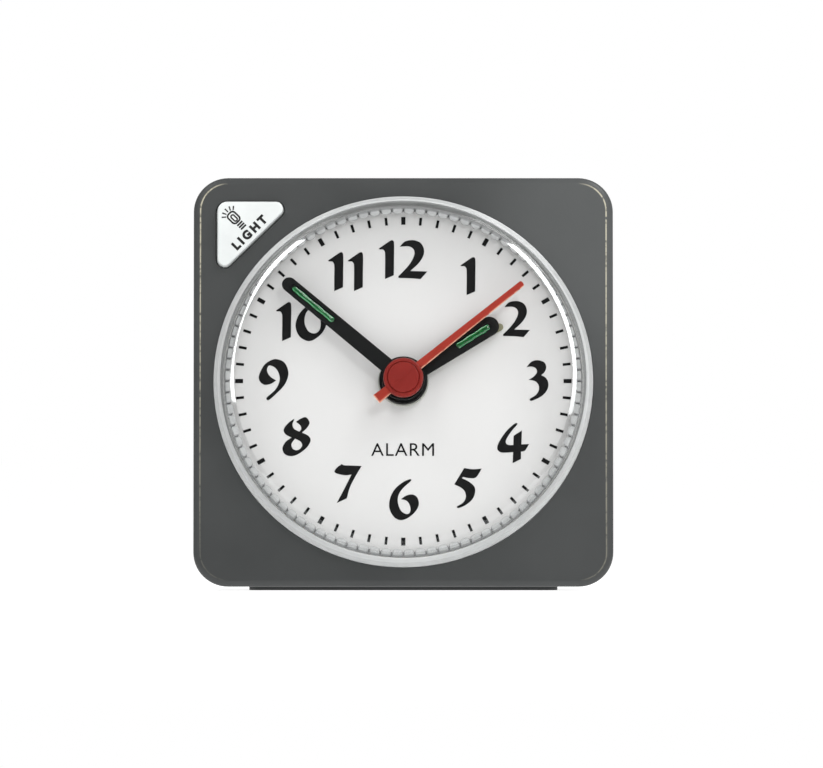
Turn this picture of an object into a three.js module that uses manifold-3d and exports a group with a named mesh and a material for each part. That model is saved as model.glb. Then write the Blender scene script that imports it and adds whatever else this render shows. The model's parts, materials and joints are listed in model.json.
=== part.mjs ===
// A square travel alarm clock that leans back on its foot, with its quartz movement inside.
//
// Units are millimetres. Every piece is modelled in the clock's own upright frame: x runs to the
// right, y runs from the front face into the case and is called depth here, and z runs up, with
// the origin where the hands' axis crosses the front face. Angles of hands and gears are turned
// clockwise from 12 o'clock. The whole group is then tipped back and stood on its foot, so that
// in the exported frame +Z is up and the origin is under the middle of the clock.
import * as THREE from "three";
import { mergeVertices } from "three/addons/utils/BufferGeometryUtils.js";
import Module from "manifold-3d";

const wasm = await Module();
wasm.setup();

// ---------------------------------------------------------------- driving dimensions
const LEAN = THREE.MathUtils.degToRad(12.4); // how far the face leans back
const HALF = 29; // half the width and height of the square face
const CASE_DEPTH = 30;
const PARTING = 12; // depth where the front shell ends
const GAP = 0.3; // between fixed pieces that meet
const WALL = 1.6;
const CORNER = 4.8;
const EDGE = 0.9; // rounding of the front and back edges
const ROUND_SIDES = 44; // sides of the large round pieces
const DRAFT = 1.6; // how much narrower each side is at the back
const FOOT_HEIGHT = 0.57;
const FOOT_WIDTH = 42.7;

const WINDOW_RADIUS = 26.45;
const CRYSTAL_FLANGE = 27.1;
const DIAL_RADIUS = 24.4;
const DIAL_FRONT = 0.6;
const DIAL_BACK = 1.2;
const PLATE_FRONT = 1.5; // the movement's front plate
const PLATE_BACK = 2.7;
const REAR_PLATE_FRONT = 14;
const REAR_PLATE_BACK = 15.2;
const BACK_INSIDE = CASE_DEPTH - WALL;

// Where each shaft crosses the face: right of and above the hands' axis.
const SHAFTS = {
  centre: { x: 0, z: 0 },
  third: { x: -6.364, z: -6.364 },
  fifth: { x: 6.062, z: -3.5 },
  rotor: { x: 11.968, z: -4.558 },
  motion: { x: 2.64, z: 5.388 },
  time: { x: 8.5, z: 6.7 },
  alarm: { x: -8.5, z: 6.7 },
};
const SCREW_SITES = [
  { x: -24.2, z: 21, bossFront: 7 },
  { x: 24.2, z: 21, bossFront: 7 },
  { x: -24.2, z: -2.6, bossFront: 3 },
  { x: 24.2, z: -2.6, bossFront: 3 },
];
const PILLARS = [
  { x: -16, z: -3.5 },
  { x: 15.5, z: 5.5 },
  { x: -15.8, z: 10 },
];
const CELL = { depth: 21, z: -13.6, radius: 7.1, halfLength: 25 };
const SWITCH_SITE = { x: -16, z: 17 };
const SWITCH_TRAVEL = 4;
const BUZZER = { x: 0, z: 18.5, radius: 6 };
const LAMP = { x: -17, z: 17 };

// The snooze button is a right triangle whose long side lies where z - x equals SLOPE.
const BUTTON = { left: -25.7, top: 25.6, slope: 40.45, rise: 0.9 };

// ---------------------------------------------------------------- materials
function material(color, roughness, metalness = 0) {
  return new THREE.MeshStandardMaterial({ color, roughness, metalness });
}
const casePlastic = material(0x4b4d4e, 0.3);
const clearPlastic = material(0xf2f5f6, 0.05);
const dialWhite = material(0xe2e2e0, 0.6);
const buttonWhite = material(0xeff3f3, 0.3);
const handBlack = material(0x1c1e1f, 0.45);
const handRed = material(0xaf3c30, 0.45);
const alarmKhaki = material(0x82826a, 0.5);
const framePlastic = material(0xd9d8d0, 0.6);
const gearPlastic = material(0xf0ead2, 0.5);
const knobPlastic = material(0x2c2e2f, 0.45);
const steel = material(0xb4b6b8, 0.3, 1);
const copper = material(0xb06a3c, 0.4, 1);
const boardGreen = material(0x2c6b45, 0.6);
const chipBlack = material(0x141414, 0.5);
const brass = material(0xc0a050, 0.35, 1);
const cellWrap = material(0x5d7280, 0.4);

// ---------------------------------------------------------------- solids
// A closed geometry as a solid that faces out, whichever way its profile ran.
function solid(geometry) {
  const plain = geometry.clone();
  plain.deleteAttribute("normal");
  plain.deleteAttribute("uv");
  const merged = mergeVertices(plain, 1e-4);
  const vertProperties = merged.attributes.position.array;
  const triVerts = new Uint32Array(merged.index.array);
  const made = new wasm.Manifold(new wasm.Mesh({ numProp: 3, vertProperties, triVerts }));
  if (made.volume() > 0) return made;
  triVerts.reverse();
  return new wasm.Manifold(new wasm.Mesh({ numProp: 3, vertProperties, triVerts }));
}

function geometryOf(made) {
  const mesh = made.getMesh();
  const geometry = new THREE.BufferGeometry();
  geometry.setAttribute("position", new THREE.BufferAttribute(mesh.vertProperties, 3));
  geometry.setIndex(new THREE.BufferAttribute(mesh.triVerts, 1));
  geometry.computeVertexNormals();
  return geometry;
}

const join = (...pieces) => pieces.reduce((all, piece) => all.add(piece));
const cut = (piece, ...tools) => tools.reduce((left, tool) => left.subtract(tool), piece);

// An outline in the face's plane, given thickness from one depth to another.
function slab(shape, from, to, curveSegments = 8) {
  const options = { depth: to - from, bevelEnabled: false, curveSegments };
  return solid(new THREE.ExtrudeGeometry(shape, options).translate(0, 0, -to).rotateX(Math.PI / 2));
}

// A round bar along the depth.
function bar(radius, from, to, { x, z } = SHAFTS.centre, sides = 16) {
  const geometry = new THREE.CylinderGeometry(radius, radius, to - from, sides);
  return solid(geometry.translate(x, (from + to) / 2, z));
}

// A round bar lying across the clock.
function lyingBar(radius, length, { x, depth, z }) {
  const geometry = new THREE.CylinderGeometry(radius, radius, length, 20);
  return solid(geometry.rotateZ(Math.PI / 2).translate(x, depth, z));
}

function tube(outer, inner, from, to) {
  return cut(bar(outer, from, to), bar(inner, from - 1, to + 1));
}

// A block between two corners.
function block([x0, y0, z0], [x1, y1, z1]) {
  const geometry = new THREE.BoxGeometry(x1 - x0, y1 - y0, z1 - z0);
  return solid(geometry.translate((x0 + x1) / 2, (y0 + y1) / 2, (z0 + z1) / 2));
}

// A closed profile of [radius, depth] pairs, turned about the hands' axis.
function turned(profile, segments) {
  const points = profile.map(([radius, depth]) => new THREE.Vector2(radius, depth));
  return solid(new THREE.LatheGeometry(points, segments));
}

// ---------------------------------------------------------------- the scene
const clock = new THREE.Group();
clock.name = "alarm_clock";
clock.rotation.x = -LEAN;

function add(name, made, finish, { x = 0, z = 0, turn = 0 } = {}) {
  const mesh = new THREE.Mesh(geometryOf(made), finish);
  mesh.name = name;
  mesh.position.set(x, 0, z);
  mesh.rotation.y = turn;
  clock.add(mesh);
}

// ---------------------------------------------------------------- the case
// The underside is level when the clock leans back, so it rises with depth in the clock's frame.
const bottomAt = (depth) => -HALF + depth * Math.tan(LEAN);
const narrowing = (depth) => (DRAFT * Math.max(depth - PARTING, 0)) / (CASE_DEPTH - PARTING);

// The case's rounded square section at one depth, as a ring of points.
function caseRing({ depth, inset }) {
  const steps = 5;
  const side = HALF - narrowing(depth) - inset;
  const bottom = bottomAt(depth) + inset;
  const radius = Math.max(CORNER - inset, 1);
  const centres = [
    [side - radius, side - radius],
    [radius - side, side - radius],
    [radius - side, bottom + radius],
    [side - radius, bottom + radius],
  ];
  return centres.flatMap(([x, z], corner) =>
    Array.from({ length: steps + 1 }, (_, i) => {
      const angle = ((corner + i / steps) * Math.PI) / 2;
      return new THREE.Vector3(x + radius * Math.cos(angle), depth, z + radius * Math.sin(angle));
    }),
  );
}

// A closed body through a series of case sections.
function loft(sections) {
  const rings = sections.map(caseRing);
  const count = rings[0].length;
  const indices = [];
  for (let k = 0; k + 1 < rings.length; k++) {
    for (let i = 0; i < count; i++) {
      const a = k * count + i;
      const b = k * count + ((i + 1) % count);
      indices.push(a, b, b + count, a, b + count, a + count);
    }
  }
  const last = (rings.length - 1) * count;
  for (let i = 1; i + 1 < count; i++) {
    indices.push(0, i + 1, i, last, last + i, last + i + 1);
  }
  const geometry = new THREE.BufferGeometry().setFromPoints(rings.flat());
  geometry.setIndex(indices);
  return solid(geometry);
}

// A block that is square to the table, as it lies in the leaning frame. Its distances are
// from the hands' axis along the table, and its heights are above the case's underside.
function levelBlock([x0, y0, z0], [x1, y1, z1]) {
  const underside = -HALF * Math.cos(LEAN);
  const geometry = new THREE.BoxGeometry(x1 - x0, y1 - y0, z1 - z0);
  geometry.translate((x0 + x1) / 2, (y0 + y1) / 2, (z0 + z1) / 2 + underside);
  return solid(geometry.rotateX(LEAN));
}

// The snooze button's outline, grown outwards by a margin.
function buttonShape(margin) {
  const { left, top, slope } = BUTTON;
  const squareCorner = 1.4;
  const sharpCorner = 1.1;
  const along = slope + sharpCorner * Math.SQRT2;
  const quarter = Math.PI / 4;
  const shape = new THREE.Shape();
  const arc = (x, z, radius, from, to) => shape.absarc(x, z, radius + margin, from, to, false);
  arc(left + squareCorner, top - squareCorner, squareCorner, 2 * quarter, 4 * quarter);
  arc(left + sharpCorner, left + sharpCorner + along, sharpCorner, 4 * quarter, 7 * quarter);
  arc(top - sharpCorner - along, top - sharpCorner, sharpCorner, -quarter, 2 * quarter);
  return shape;
}

function frontShell() {
  const outside = loft([
    { depth: 0, inset: EDGE },
    { depth: EDGE * 0.29, inset: EDGE * 0.29 },
    { depth: EDGE, inset: 0 },
    { depth: PARTING, inset: 0 },
  ]);
  const inside = loft([
    { depth: WALL, inset: WALL },
    { depth: PARTING + 1, inset: WALL },
  ]);
  const bosses = SCREW_SITES.map((site) => {
    const side = Math.sign(site.x);
    const wallEnd = side * (HALF - WALL / 2);
    const [x0, x1] = [site.x, wallEnd].sort((a, b) => a - b);
    const rib = block([x0, site.bossFront, site.z - 1], [x1, PARTING, site.z + 1]);
    return join(bar(2.6, site.bossFront, PARTING, site), rib);
  });
  const pilots = SCREW_SITES.map((site) => bar(1.1, 7.7, PARTING + 1, site));
  const window = bar(WINDOW_RADIUS, -1, 3, SHAFTS.centre, 56);
  const shell = cut(outside, inside, window, slab(buttonShape(0.25), -1, 3));
  return cut(join(shell, ...bosses), ...pilots);
}

// Round holes over the buzzer: one in the middle and a ring of six round it.
function grilleHoles() {
  const ring = Array.from({ length: 6 }, (_, i) => (i * Math.PI) / 3);
  const sites = ring.map((angle) => ({
    x: BUZZER.x + 2.6 * Math.sin(angle),
    z: BUZZER.z + 2.6 * Math.cos(angle),
  }));
  return [BUZZER, ...sites].map((site) => bar(0.7, BACK_INSIDE - 1, CASE_DEPTH + 1, site, 8));
}

const DOOR = { side: 25.3, bottom: -20.5, top: -6.5 };

function rearShell() {
  const front = PARTING + GAP;
  const outside = loft([
    { depth: front, inset: 0 },
    { depth: CASE_DEPTH - EDGE, inset: 0 },
    { depth: CASE_DEPTH - EDGE * 0.29, inset: EDGE * 0.29 },
    { depth: CASE_DEPTH, inset: EDGE },
  ]);
  const inside = loft([
    { depth: front - 1, inset: WALL },
    { depth: BACK_INSIDE, inset: WALL },
  ]);
  const columns = SCREW_SITES.map((site) => bar(2.6, front, CASE_DEPTH - 0.5, site).intersect(outside));
  const cellWall = block([-27, CELL.depth - 4, DOOR.top + 0.5], [27, CASE_DEPTH - 1, DOOR.top + 1.5]);
  const foot = levelBlock([-FOOT_WIDTH / 2, 6.9, -FOOT_HEIGHT], [FOOT_WIDTH / 2, 23, WALL / 2]);
  const screwHoles = SCREW_SITES.map((site) => bar(1.1, front - 1, CASE_DEPTH + 1, site));
  const headRecesses = SCREW_SITES.map((site) => bar(2.2, 25.3, CASE_DEPTH + 1, site));
  const through = [BACK_INSIDE - 1, CASE_DEPTH + 1];
  const knobHoles = [SHAFTS.time, SHAFTS.alarm].map((site) => bar(1.1, ...through, site));
  const doorway = block(
    [-DOOR.side - GAP, BACK_INSIDE - 1, DOOR.bottom - GAP],
    [DOOR.side + GAP, CASE_DEPTH + 1, DOOR.top + GAP],
  );
  const { x, z } = SWITCH_SITE;
  const slot = block([x - 1.5, BACK_INSIDE - 1, z - 1.5], [x + 1.5, CASE_DEPTH + 1, z + 1.5 + SWITCH_TRAVEL]);
  const shell = join(cut(outside, inside), ...columns, cellWall.intersect(outside), foot);
  return cut(shell, ...screwHoles, ...headRecesses, ...knobHoles, ...grilleHoles(), doorway, slot);
}

add("front_shell", frontShell(), casePlastic);
add("rear_shell", rearShell(), casePlastic);
SCREW_SITES.forEach((site, i) => {
  const head = bar(1.9, 25.6, 27, site);
  const crossSlots = [
    block([site.x - 1.1, 26.4, site.z - 0.25], [site.x + 1.1, 28, site.z + 0.25]),
    block([site.x - 0.25, 26.4, site.z - 1.1], [site.x + 0.25, 28, site.z + 1.1]),
  ];
  add(`case_screw_${i + 1}`, join(cut(head, ...crossSlots), bar(0.8, 8.2, 25.8, site, 10)), steel);
});

// The crystal's flange is cut flat below, where the case's underside is close.
function crystal() {
  const outer = [[0, -4.9], [12, -4.8], [20, -4.6], [24, -4.4], [24.7, -4], [25, -3.2], [26.15, 0]];
  const flange = [[26.15, 1.9], [CRYSTAL_FLANGE, 1.9], [CRYSTAL_FLANGE, 2.6], [24.95, 2.6]];
  const inner = [[24.95, 0.2], [24.85, -0.6], [23.7, -3.1], [23, -3.5], [0, -3.7]];
  const flat = block([-30, 1.6, -30], [30, 3, -26.45]);
  return cut(turned([...outer, ...flange, ...inner], ROUND_SIDES), flat);
}
add("crystal", crystal(), clearPlastic);

const ringProfile = [[23.75, 0.3], [24.6, 0.3], [24.5, -0.5], [23.85, -0.5], [23.75, 0.3]];
add("light_ring", turned(ringProfile, ROUND_SIDES), clearPlastic);
const dialDisc = bar(DIAL_RADIUS, DIAL_FRONT, DIAL_BACK, SHAFTS.centre, ROUND_SIDES);
add("dial", cut(dialDisc, bar(2.9, 0, 2)), dialWhite);

// ---------------------------------------------------------------- the snooze button
const buttonFlange = slab(buttonShape(0.75), WALL + GAP, 2.5);
const buttonStem = bar(1, 2.4, 3.1, { x: -22.4, z: 22 });
add("snooze_button", join(slab(buttonShape(0), -BUTTON.rise, 2.2), buttonFlange, buttonStem), buttonWhite);

// ---------------------------------------------------------------- the hands
const HANDS = {
  alarm: THREE.MathUtils.degToRad(59.9),
  hour: THREE.MathUtils.degToRad(57.1),
  minute: THREE.MathUtils.degToRad(310.3),
  second: THREE.MathUtils.degToRad(50.9),
};

// A tapering arm along z with a round end at its tip.
function arm(rootWidth, tipWidth, length) {
  const tip = tipWidth / 2;
  const shape = new THREE.Shape();
  shape.moveTo(-rootWidth / 2, 0);
  shape.lineTo(rootWidth / 2, 0);
  shape.lineTo(tip, length - tip);
  shape.absarc(0, length - tip, tip, 0, Math.PI, false);
  shape.closePath();
  return shape;
}

function hand({ hub, hubBack, hubFront, bore, rootWidth, tipWidth, length, back, front }) {
  const arms = slab(arm(rootWidth, tipWidth, length), front, back);
  return cut(join(arms, bar(hub, hubFront, hubBack, SHAFTS.centre, 24)), bar(bore, -5, 2));
}

const alarmHand = hand({
  hub: 3.5, hubFront: -0.1, hubBack: 0.25, bore: 2.35,
  rootWidth: 1.1, tipWidth: 1, length: 15.9, front: -0.1, back: 0.25,
});
const hourHand = hand({
  hub: 3.35, hubFront: -1.1, hubBack: -0.4, bore: 1.75,
  rootWidth: 2.1, tipWidth: 2.7, length: 15.5, front: -0.8, back: -0.4,
});
const minuteHand = hand({
  hub: 3, hubFront: -2, hubBack: -1.4, bore: 1.15,
  rootWidth: 2.15, tipWidth: 2, length: 21.7, front: -1.8, back: -1.4,
});
add("alarm_hand", alarmHand, alarmKhaki, { turn: HANDS.alarm });
add("hour_hand", hourHand, handBlack, { turn: HANDS.hour });
add("minute_hand", minuteHand, handBlack, { turn: HANDS.minute });

// The second hand is a long pointer with a square tip and a short wide tail.
function secondHand() {
  const halfOutline = [[0.42, 21.26], [0.6, 2], [0.6, 0], [0.78, -4.8]];
  const otherHalf = halfOutline.map(([x, z]) => [-x, z]).reverse();
  const shape = new THREE.Shape([...halfOutline, ...otherHalf].map(([x, z]) => new THREE.Vector2(x, z)));
  const hub = join(bar(2.77, -2.9, -2.3, SHAFTS.centre, 24), bar(2.15, -3.1, -2.3, SHAFTS.centre, 24));
  return cut(join(slab(shape, -2.7, -2.3), hub), bar(0.6, -2.7, -2));
}
add("second_hand", secondHand(), handRed, { turn: HANDS.second });

// ---------------------------------------------------------------- gears
const GEAR = { tip: 0.8, root: 1.15, tipHalf: 0.1, rootHalf: 0.27 }; // modules and pitches

function gear(teeth, module, from, to) {
  const pitch = (2 * Math.PI) / teeth;
  const tip = module * (teeth / 2 + GEAR.tip);
  const root = module * (teeth / 2 - GEAR.root);
  const shape = new THREE.Shape();
  const corners = [[root, -GEAR.rootHalf], [tip, -GEAR.tipHalf], [tip, GEAR.tipHalf], [root, GEAR.rootHalf]];
  const points = Array.from({ length: teeth }, (_, i) =>
    corners.map(([radius, offset]) => {
      const angle = (i + offset) * pitch;
      return new THREE.Vector2(radius * Math.sin(angle), radius * Math.cos(angle));
    }),
  ).flat();
  shape.setFromPoints(points.reverse());
  return slab(shape, from, to);
}

// How far a wheel is turned so that its gaps receive the teeth of the wheel that drives it.
function meshed(from, driver, driverTurn, to, driven) {
  const [a, b] = [SHAFTS[from], SHAFTS[to]];
  const direction = Math.atan2(b.x - a.x, b.z - a.z);
  const phase = ((direction - driverTurn) * driver.teeth) / (2 * Math.PI);
  return direction + Math.PI - ((0.5 - phase) * 2 * Math.PI) / driven.teeth;
}

const CENTRE_WHEEL = { teeth: 48, module: 1 / 3 };
const CANNON = { teeth: 10, module: 0.3 };
const SECOND_WHEEL = { teeth: 48, module: 0.25 };
const SECOND_PINION = { teeth: 6, module: 9 / 25.5 };
const THIRD_WHEEL = { teeth: 45, module: 9 / 25.5 };
const THIRD_PINION = { teeth: 6, module: 1 / 3 };
const FIFTH_WHEEL = { teeth: 40, module: 0.25 };
const SMALL_PINION = { teeth: 8, module: 0.25 };
const MOTION_WHEEL = { teeth: 30, module: 0.3 };
const MOTION_PINION = { teeth: 8, module: 0.3 };
const HOUR_WHEEL = { teeth: 32, module: 0.3 };
const ALARM_WHEEL = { teeth: 40, module: 0.3 };

const turns = { centre: 0, hourAlarm: 0 };
turns.third = meshed("centre", CENTRE_WHEEL, turns.centre, "third", THIRD_PINION);
turns.second = meshed("third", THIRD_WHEEL, turns.third, "centre", SECOND_PINION);
turns.fifth = meshed("centre", SECOND_WHEEL, turns.second, "fifth", SMALL_PINION);
turns.rotor = meshed("fifth", FIFTH_WHEEL, turns.fifth, "rotor", SMALL_PINION);
turns.motion = meshed("centre", CANNON, turns.centre, "motion", MOTION_WHEEL);
turns.hour = meshed("motion", MOTION_PINION, turns.motion, "centre", HOUR_WHEEL);
turns.time = meshed("motion", MOTION_WHEEL, turns.motion, "time", CANNON);
turns.alarm = meshed("centre", HOUR_WHEEL, turns.hourAlarm, "alarm", ALARM_WHEEL);

const toothed = ({ teeth, module }, from, to) => gear(teeth, module, from, to);
const place = (shaft, turn) => ({ ...SHAFTS[shaft], turn });
const withShaft = (made, radius, from, to) => join(made, bar(radius, from, to, SHAFTS.centre, 10));

// Three tubes and a shaft run inside one another to carry the four hands.
const alarmTube = tube(2.2, 1.75, 0, 4);
const hourTube = tube(1.55, 1.15, -1, 5.2);
const minuteTube = tube(0.95, 0.6, -1.95, 8);
add("alarm_wheel", join(cut(toothed(HOUR_WHEEL, 3.2, 4), bar(2, 3, 5)), alarmTube), gearPlastic);
add(
  "hour_wheel",
  join(cut(toothed(HOUR_WHEEL, 4.4, 5.2), bar(1.4, 4, 6)), hourTube),
  gearPlastic,
  place("centre", turns.hour),
);
const minuteGears = join(toothed(CANNON, 5.6, 6.8), toothed(CENTRE_WHEEL, 7.2, 8));
add("centre_wheel", join(cut(minuteGears, bar(0.8, 5, 9)), minuteTube), gearPlastic);
const secondGears = join(toothed(SECOND_PINION, 9, 10.4), toothed(SECOND_WHEEL, 10.6, 11.4));
add("second_wheel", withShaft(secondGears, 0.4, -2.55, 14.7), gearPlastic, place("centre", turns.second));

const thirdGears = join(toothed(THIRD_PINION, 7, 8.4), toothed(THIRD_WHEEL, 9.2, 10));
add("third_wheel", withShaft(thirdGears, 0.4, 2, 14.7), gearPlastic, place("third", turns.third));
const fifthGears = join(toothed(SMALL_PINION, 10.4, 11.6), toothed(FIFTH_WHEEL, 12, 12.8));
add("fifth_wheel", withShaft(fifthGears, 0.4, 8.6, 14.7), gearPlastic, place("fifth", turns.fifth));
const magnet = bar(1.2, 8.4, 9.4);
const rotorPinion = toothed(SMALL_PINION, 11.8, 13);
add("rotor", withShaft(join(magnet, rotorPinion), 0.4, 2, 14.7), gearPlastic, place("rotor", turns.rotor));
const motionGears = join(toothed(MOTION_WHEEL, 5.8, 6.6), toothed(MOTION_PINION, 4.2, 5.9));
add("motion_wheel", withShaft(motionGears, 0.5, 2, 6.9), gearPlastic, place("motion", turns.motion));

// The two setting arbors run out through the back to their knobs.
const KNOB_END = 33;
const timeGear = toothed(CANNON, 5.6, 6.8);
const alarmGear = toothed(ALARM_WHEEL, 3.2, 4);
add("time_arbor", withShaft(timeGear, 0.8, 2, 31.6), gearPlastic, place("time", turns.time));
add("alarm_arbor", withShaft(alarmGear, 0.8, 2, 31.6), gearPlastic, place("alarm", turns.alarm));
const knob = cut(bar(5.2, CASE_DEPTH + GAP, KNOB_END, SHAFTS.centre, 24), bar(1.1, 30, 31.9));
add("time_knob", knob, knobPlastic, SHAFTS.time);
add("alarm_knob", knob, knobPlastic, SHAFTS.alarm);

// ---------------------------------------------------------------- the movement's frame
const FRAME_SHAFTS = [SHAFTS.third, SHAFTS.rotor, SHAFTS.motion];
const KNOB_SHAFTS = [SHAFTS.time, SHAFTS.alarm];

function frontPlate() {
  const disc = bar(24.3, PLATE_FRONT, PLATE_BACK, SHAFTS.centre, ROUND_SIDES);
  const holes = FRAME_SHAFTS.map((site) => bar(0.65, 1, 4, site, 10));
  const knobBearings = KNOB_SHAFTS.map((site) => bar(1.05, 1, 4, site, 12));
  const lampNotch = bar(1.9, 1, 4, LAMP);
  const pillars = PILLARS.map((site) => bar(1.4, PLATE_BACK - 0.2, REAR_PLATE_FRONT - GAP, site, 12));
  const pilots = PILLARS.map((site) => bar(0.85, 9.5, REAR_PLATE_FRONT, site, 10));
  return cut(join(cut(disc, bar(2.4, 1, 4), lampNotch), ...pillars), ...holes, ...knobBearings, ...pilots);
}

function rearPlate() {
  const plate = block([-18.5, REAR_PLATE_FRONT, -9], [17.5, REAR_PLATE_BACK, 11.6]);
  const pivots = [...FRAME_SHAFTS.slice(0, 2), SHAFTS.fifth, SHAFTS.centre];
  const holes = pivots.map((site) => bar(0.65, 13, 16, site, 10));
  const knobBearings = KNOB_SHAFTS.map((site) => bar(1.05, 13, 16, site, 12));
  const screwHoles = PILLARS.map((site) => bar(0.9, 13, 16, site, 10));
  return cut(plate, ...holes, ...knobBearings, ...screwHoles);
}

add("movement_front_plate", frontPlate(), framePlastic);
add("movement_rear_plate", rearPlate(), framePlastic);
PILLARS.forEach((site, i) => {
  const head = bar(1.5, REAR_PLATE_BACK + GAP, 16.4, site, 12);
  add(`plate_screw_${i + 1}`, join(head, bar(0.6, 10, 15.6, site, 8)), steel);
});

// ---------------------------------------------------------------- the motor and electronics
// The stator plate holds the rotor in its hole, and also carries the fifth wheel's front pivot.
function stator() {
  const plate = join(
    block([4.6, 8.4, -6.8], [20, 9.2, -2]),
    block([8.2, 8.4, -13], [9.4, 9.2, -6]),
    block([18.8, 8.4, -13], [20, 9.2, -6]),
  );
  return cut(plate, bar(1.7, 8, 10, SHAFTS.rotor), bar(0.65, 8, 10, SHAFTS.fifth, 10));
}
add("stator", stator(), steel);
const winding = lyingBar(2.4, 8.6, { x: 14.1, depth: 9.9, z: -12 });
add("coil", cut(winding, block([9, 9.2, -12.9], [20, 10.6, -11.1])), copper);
add("coil_core", block([7.9, 9.5, -12.6], [20.3, 10.3, -11.4]), steel);

add("circuit_board", block([-21.2, 14, 12.2], [-7.5, 15, 24.5]), boardGreen);
add("clock_chip", block([-16, 15.3, 15], [-11, 16.5, 19]), chipBlack);
add("quartz_can", lyingBar(1, 6, { x: -14, depth: 16.4, z: 22 }), steel);
add("buzzer", cut(bar(BUZZER.radius, 20, 28, BUZZER, 28), bar(1, 26, 29, BUZZER)), brass);
const lampDome = new THREE.SphereGeometry(1.5, 12, 8).translate(LAMP.x, 4.6, LAMP.z);
add("lamp", join(solid(lampDome), bar(1.5, 4.6, 6.6, LAMP, 12)), clearPlastic);

// The leaf that the snooze button presses, with a leg that runs back to the circuit board.
add(
  "snooze_contact",
  join(block([-24, 4.3, 20.5], [-17, 4.7, 22.5]), block([-17.4, 4.3, 20.5], [-17, 13.7, 22.5])),
  brass,
);
add("alarm_contact", block([-12, 3.1, -9.8], [0, 3.4, -8.8]), brass);

// ---------------------------------------------------------------- the cell and its contacts
const { depth: cellDepth, z: cellZ, radius: cellRadius, halfLength } = CELL;
const along = (radius, length, x) => lyingBar(radius, length, { x, depth: cellDepth, z: cellZ });
const nub = 1;
const canLength = 2 * halfLength - nub;
const cellBody = along(cellRadius, canLength, nub / 2);
const cellNub = along(2.6, 2 * nub, -halfLength + nub);
add("battery_cell", join(cellBody, cellNub), cellWrap);
add("battery_plate", block([-26.1, 17.5, -17], [-25.6, 23, -10]), steel);

// A flat conical spring of two and a half turns, pressed against the cell's flat end.
class SpringPath extends THREE.Curve {
  getPoint(t, target = new THREE.Vector3()) {
    const angle = t * 5 * Math.PI;
    const radius = 2 + 1.8 * t;
    const x = 25.55 + 0.35 * t;
    return target.set(x, cellDepth + radius * Math.cos(angle), cellZ + radius * Math.sin(angle));
  }
}
const wire = new THREE.Shape().absarc(0, 0, 0.18, 0, 2 * Math.PI);
const springOptions = { steps: 30, curveSegments: 5, extrudePath: new SpringPath() };
const springGeometry = new THREE.ExtrudeGeometry(wire, springOptions);
add("battery_spring", solid(springGeometry), steel);

function batteryDoor() {
  const { side, bottom, top } = DOOR;
  const plate = block([-side, BACK_INSIDE, bottom], [side, CASE_DEPTH, top]);
  const rib = (z) => block([-24, BACK_INSIDE - 1.2, z], [24, BACK_INSIDE + 0.2, z + 0.8]);
  const ribs = [bottom + 0.8, top - 1.6].map(rib);
  const thumbGroove = block([-4, CASE_DEPTH - 0.6, top - 3], [4, CASE_DEPTH + 1, top - 1]);
  return cut(join(plate, ...ribs), thumbGroove);
}
add("battery_door", batteryDoor(), casePlastic);

function alarmSwitch() {
  const { x, z } = SWITCH_SITE;
  const cap = block([x - 2.5, CASE_DEPTH + GAP, z - 1.5], [x + 2.5, CASE_DEPTH + 1.6, z + 1.5]);
  const stem = block([x - 1.2, 27.5, z - 1.2], [x + 1.2, CASE_DEPTH + 0.5, z + 1.2]);
  const flange = block([x - 2.4, 27, z - 2], [x + 2.4, BACK_INSIDE - GAP, z + 2]);
  return join(cap, stem, flange);
}
add("alarm_switch", alarmSwitch(), knobPlastic);

// ---------------------------------------------------------------- standing on its foot
clock.updateMatrixWorld(true);
const extent = new THREE.Box3().setFromObject(clock, true);
clock.position.set(0, -(extent.min.y + extent.max.y) / 2, -extent.min.z);

export default clock;
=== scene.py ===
"""The looks of a square travel alarm clock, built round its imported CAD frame.

Shapes are made in the clock's own upright frame, in millimetres: x to the right, y from the front
face into the case (called depth) and z up, with the origin where the hands' axis crosses the face.
place() then takes each finished mesh into the row's frame, in metres.
"""
import json
import math

import bmesh
import bpy
from mathutils import Matrix, Vector


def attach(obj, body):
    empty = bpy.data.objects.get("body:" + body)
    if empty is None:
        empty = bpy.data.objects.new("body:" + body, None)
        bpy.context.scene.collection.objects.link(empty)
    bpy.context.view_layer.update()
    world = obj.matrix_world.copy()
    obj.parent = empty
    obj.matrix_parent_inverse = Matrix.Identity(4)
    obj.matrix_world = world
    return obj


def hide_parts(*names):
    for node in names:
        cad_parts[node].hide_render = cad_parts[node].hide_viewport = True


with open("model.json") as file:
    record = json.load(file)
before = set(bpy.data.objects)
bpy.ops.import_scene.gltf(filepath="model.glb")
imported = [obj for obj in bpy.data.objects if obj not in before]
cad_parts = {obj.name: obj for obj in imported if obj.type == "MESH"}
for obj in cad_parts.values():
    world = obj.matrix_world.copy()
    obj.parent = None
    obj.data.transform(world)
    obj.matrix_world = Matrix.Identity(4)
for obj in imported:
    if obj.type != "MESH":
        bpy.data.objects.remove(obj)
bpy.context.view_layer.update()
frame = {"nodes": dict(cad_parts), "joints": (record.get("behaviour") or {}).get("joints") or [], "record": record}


# ---- the clock's own frame
hands_joint = next(j for j in frame["joints"] if j["name"] == "second_hand_spin")
AXIS = Vector(hands_joint["axis"]).normalized()
ORIGIN = Vector(hands_joint["pos_m"])
RIGHT = Vector((1, 0, 0))
UP = RIGHT.cross(AXIS)
MM = 0.001
TO_ROW = Matrix.Translation(ORIGIN) @ Matrix((RIGHT, AXIS, UP)).transposed().to_4x4() @ Matrix.Scale(MM, 4)
TO_CLOCK = TO_ROW.inverted()


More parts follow.
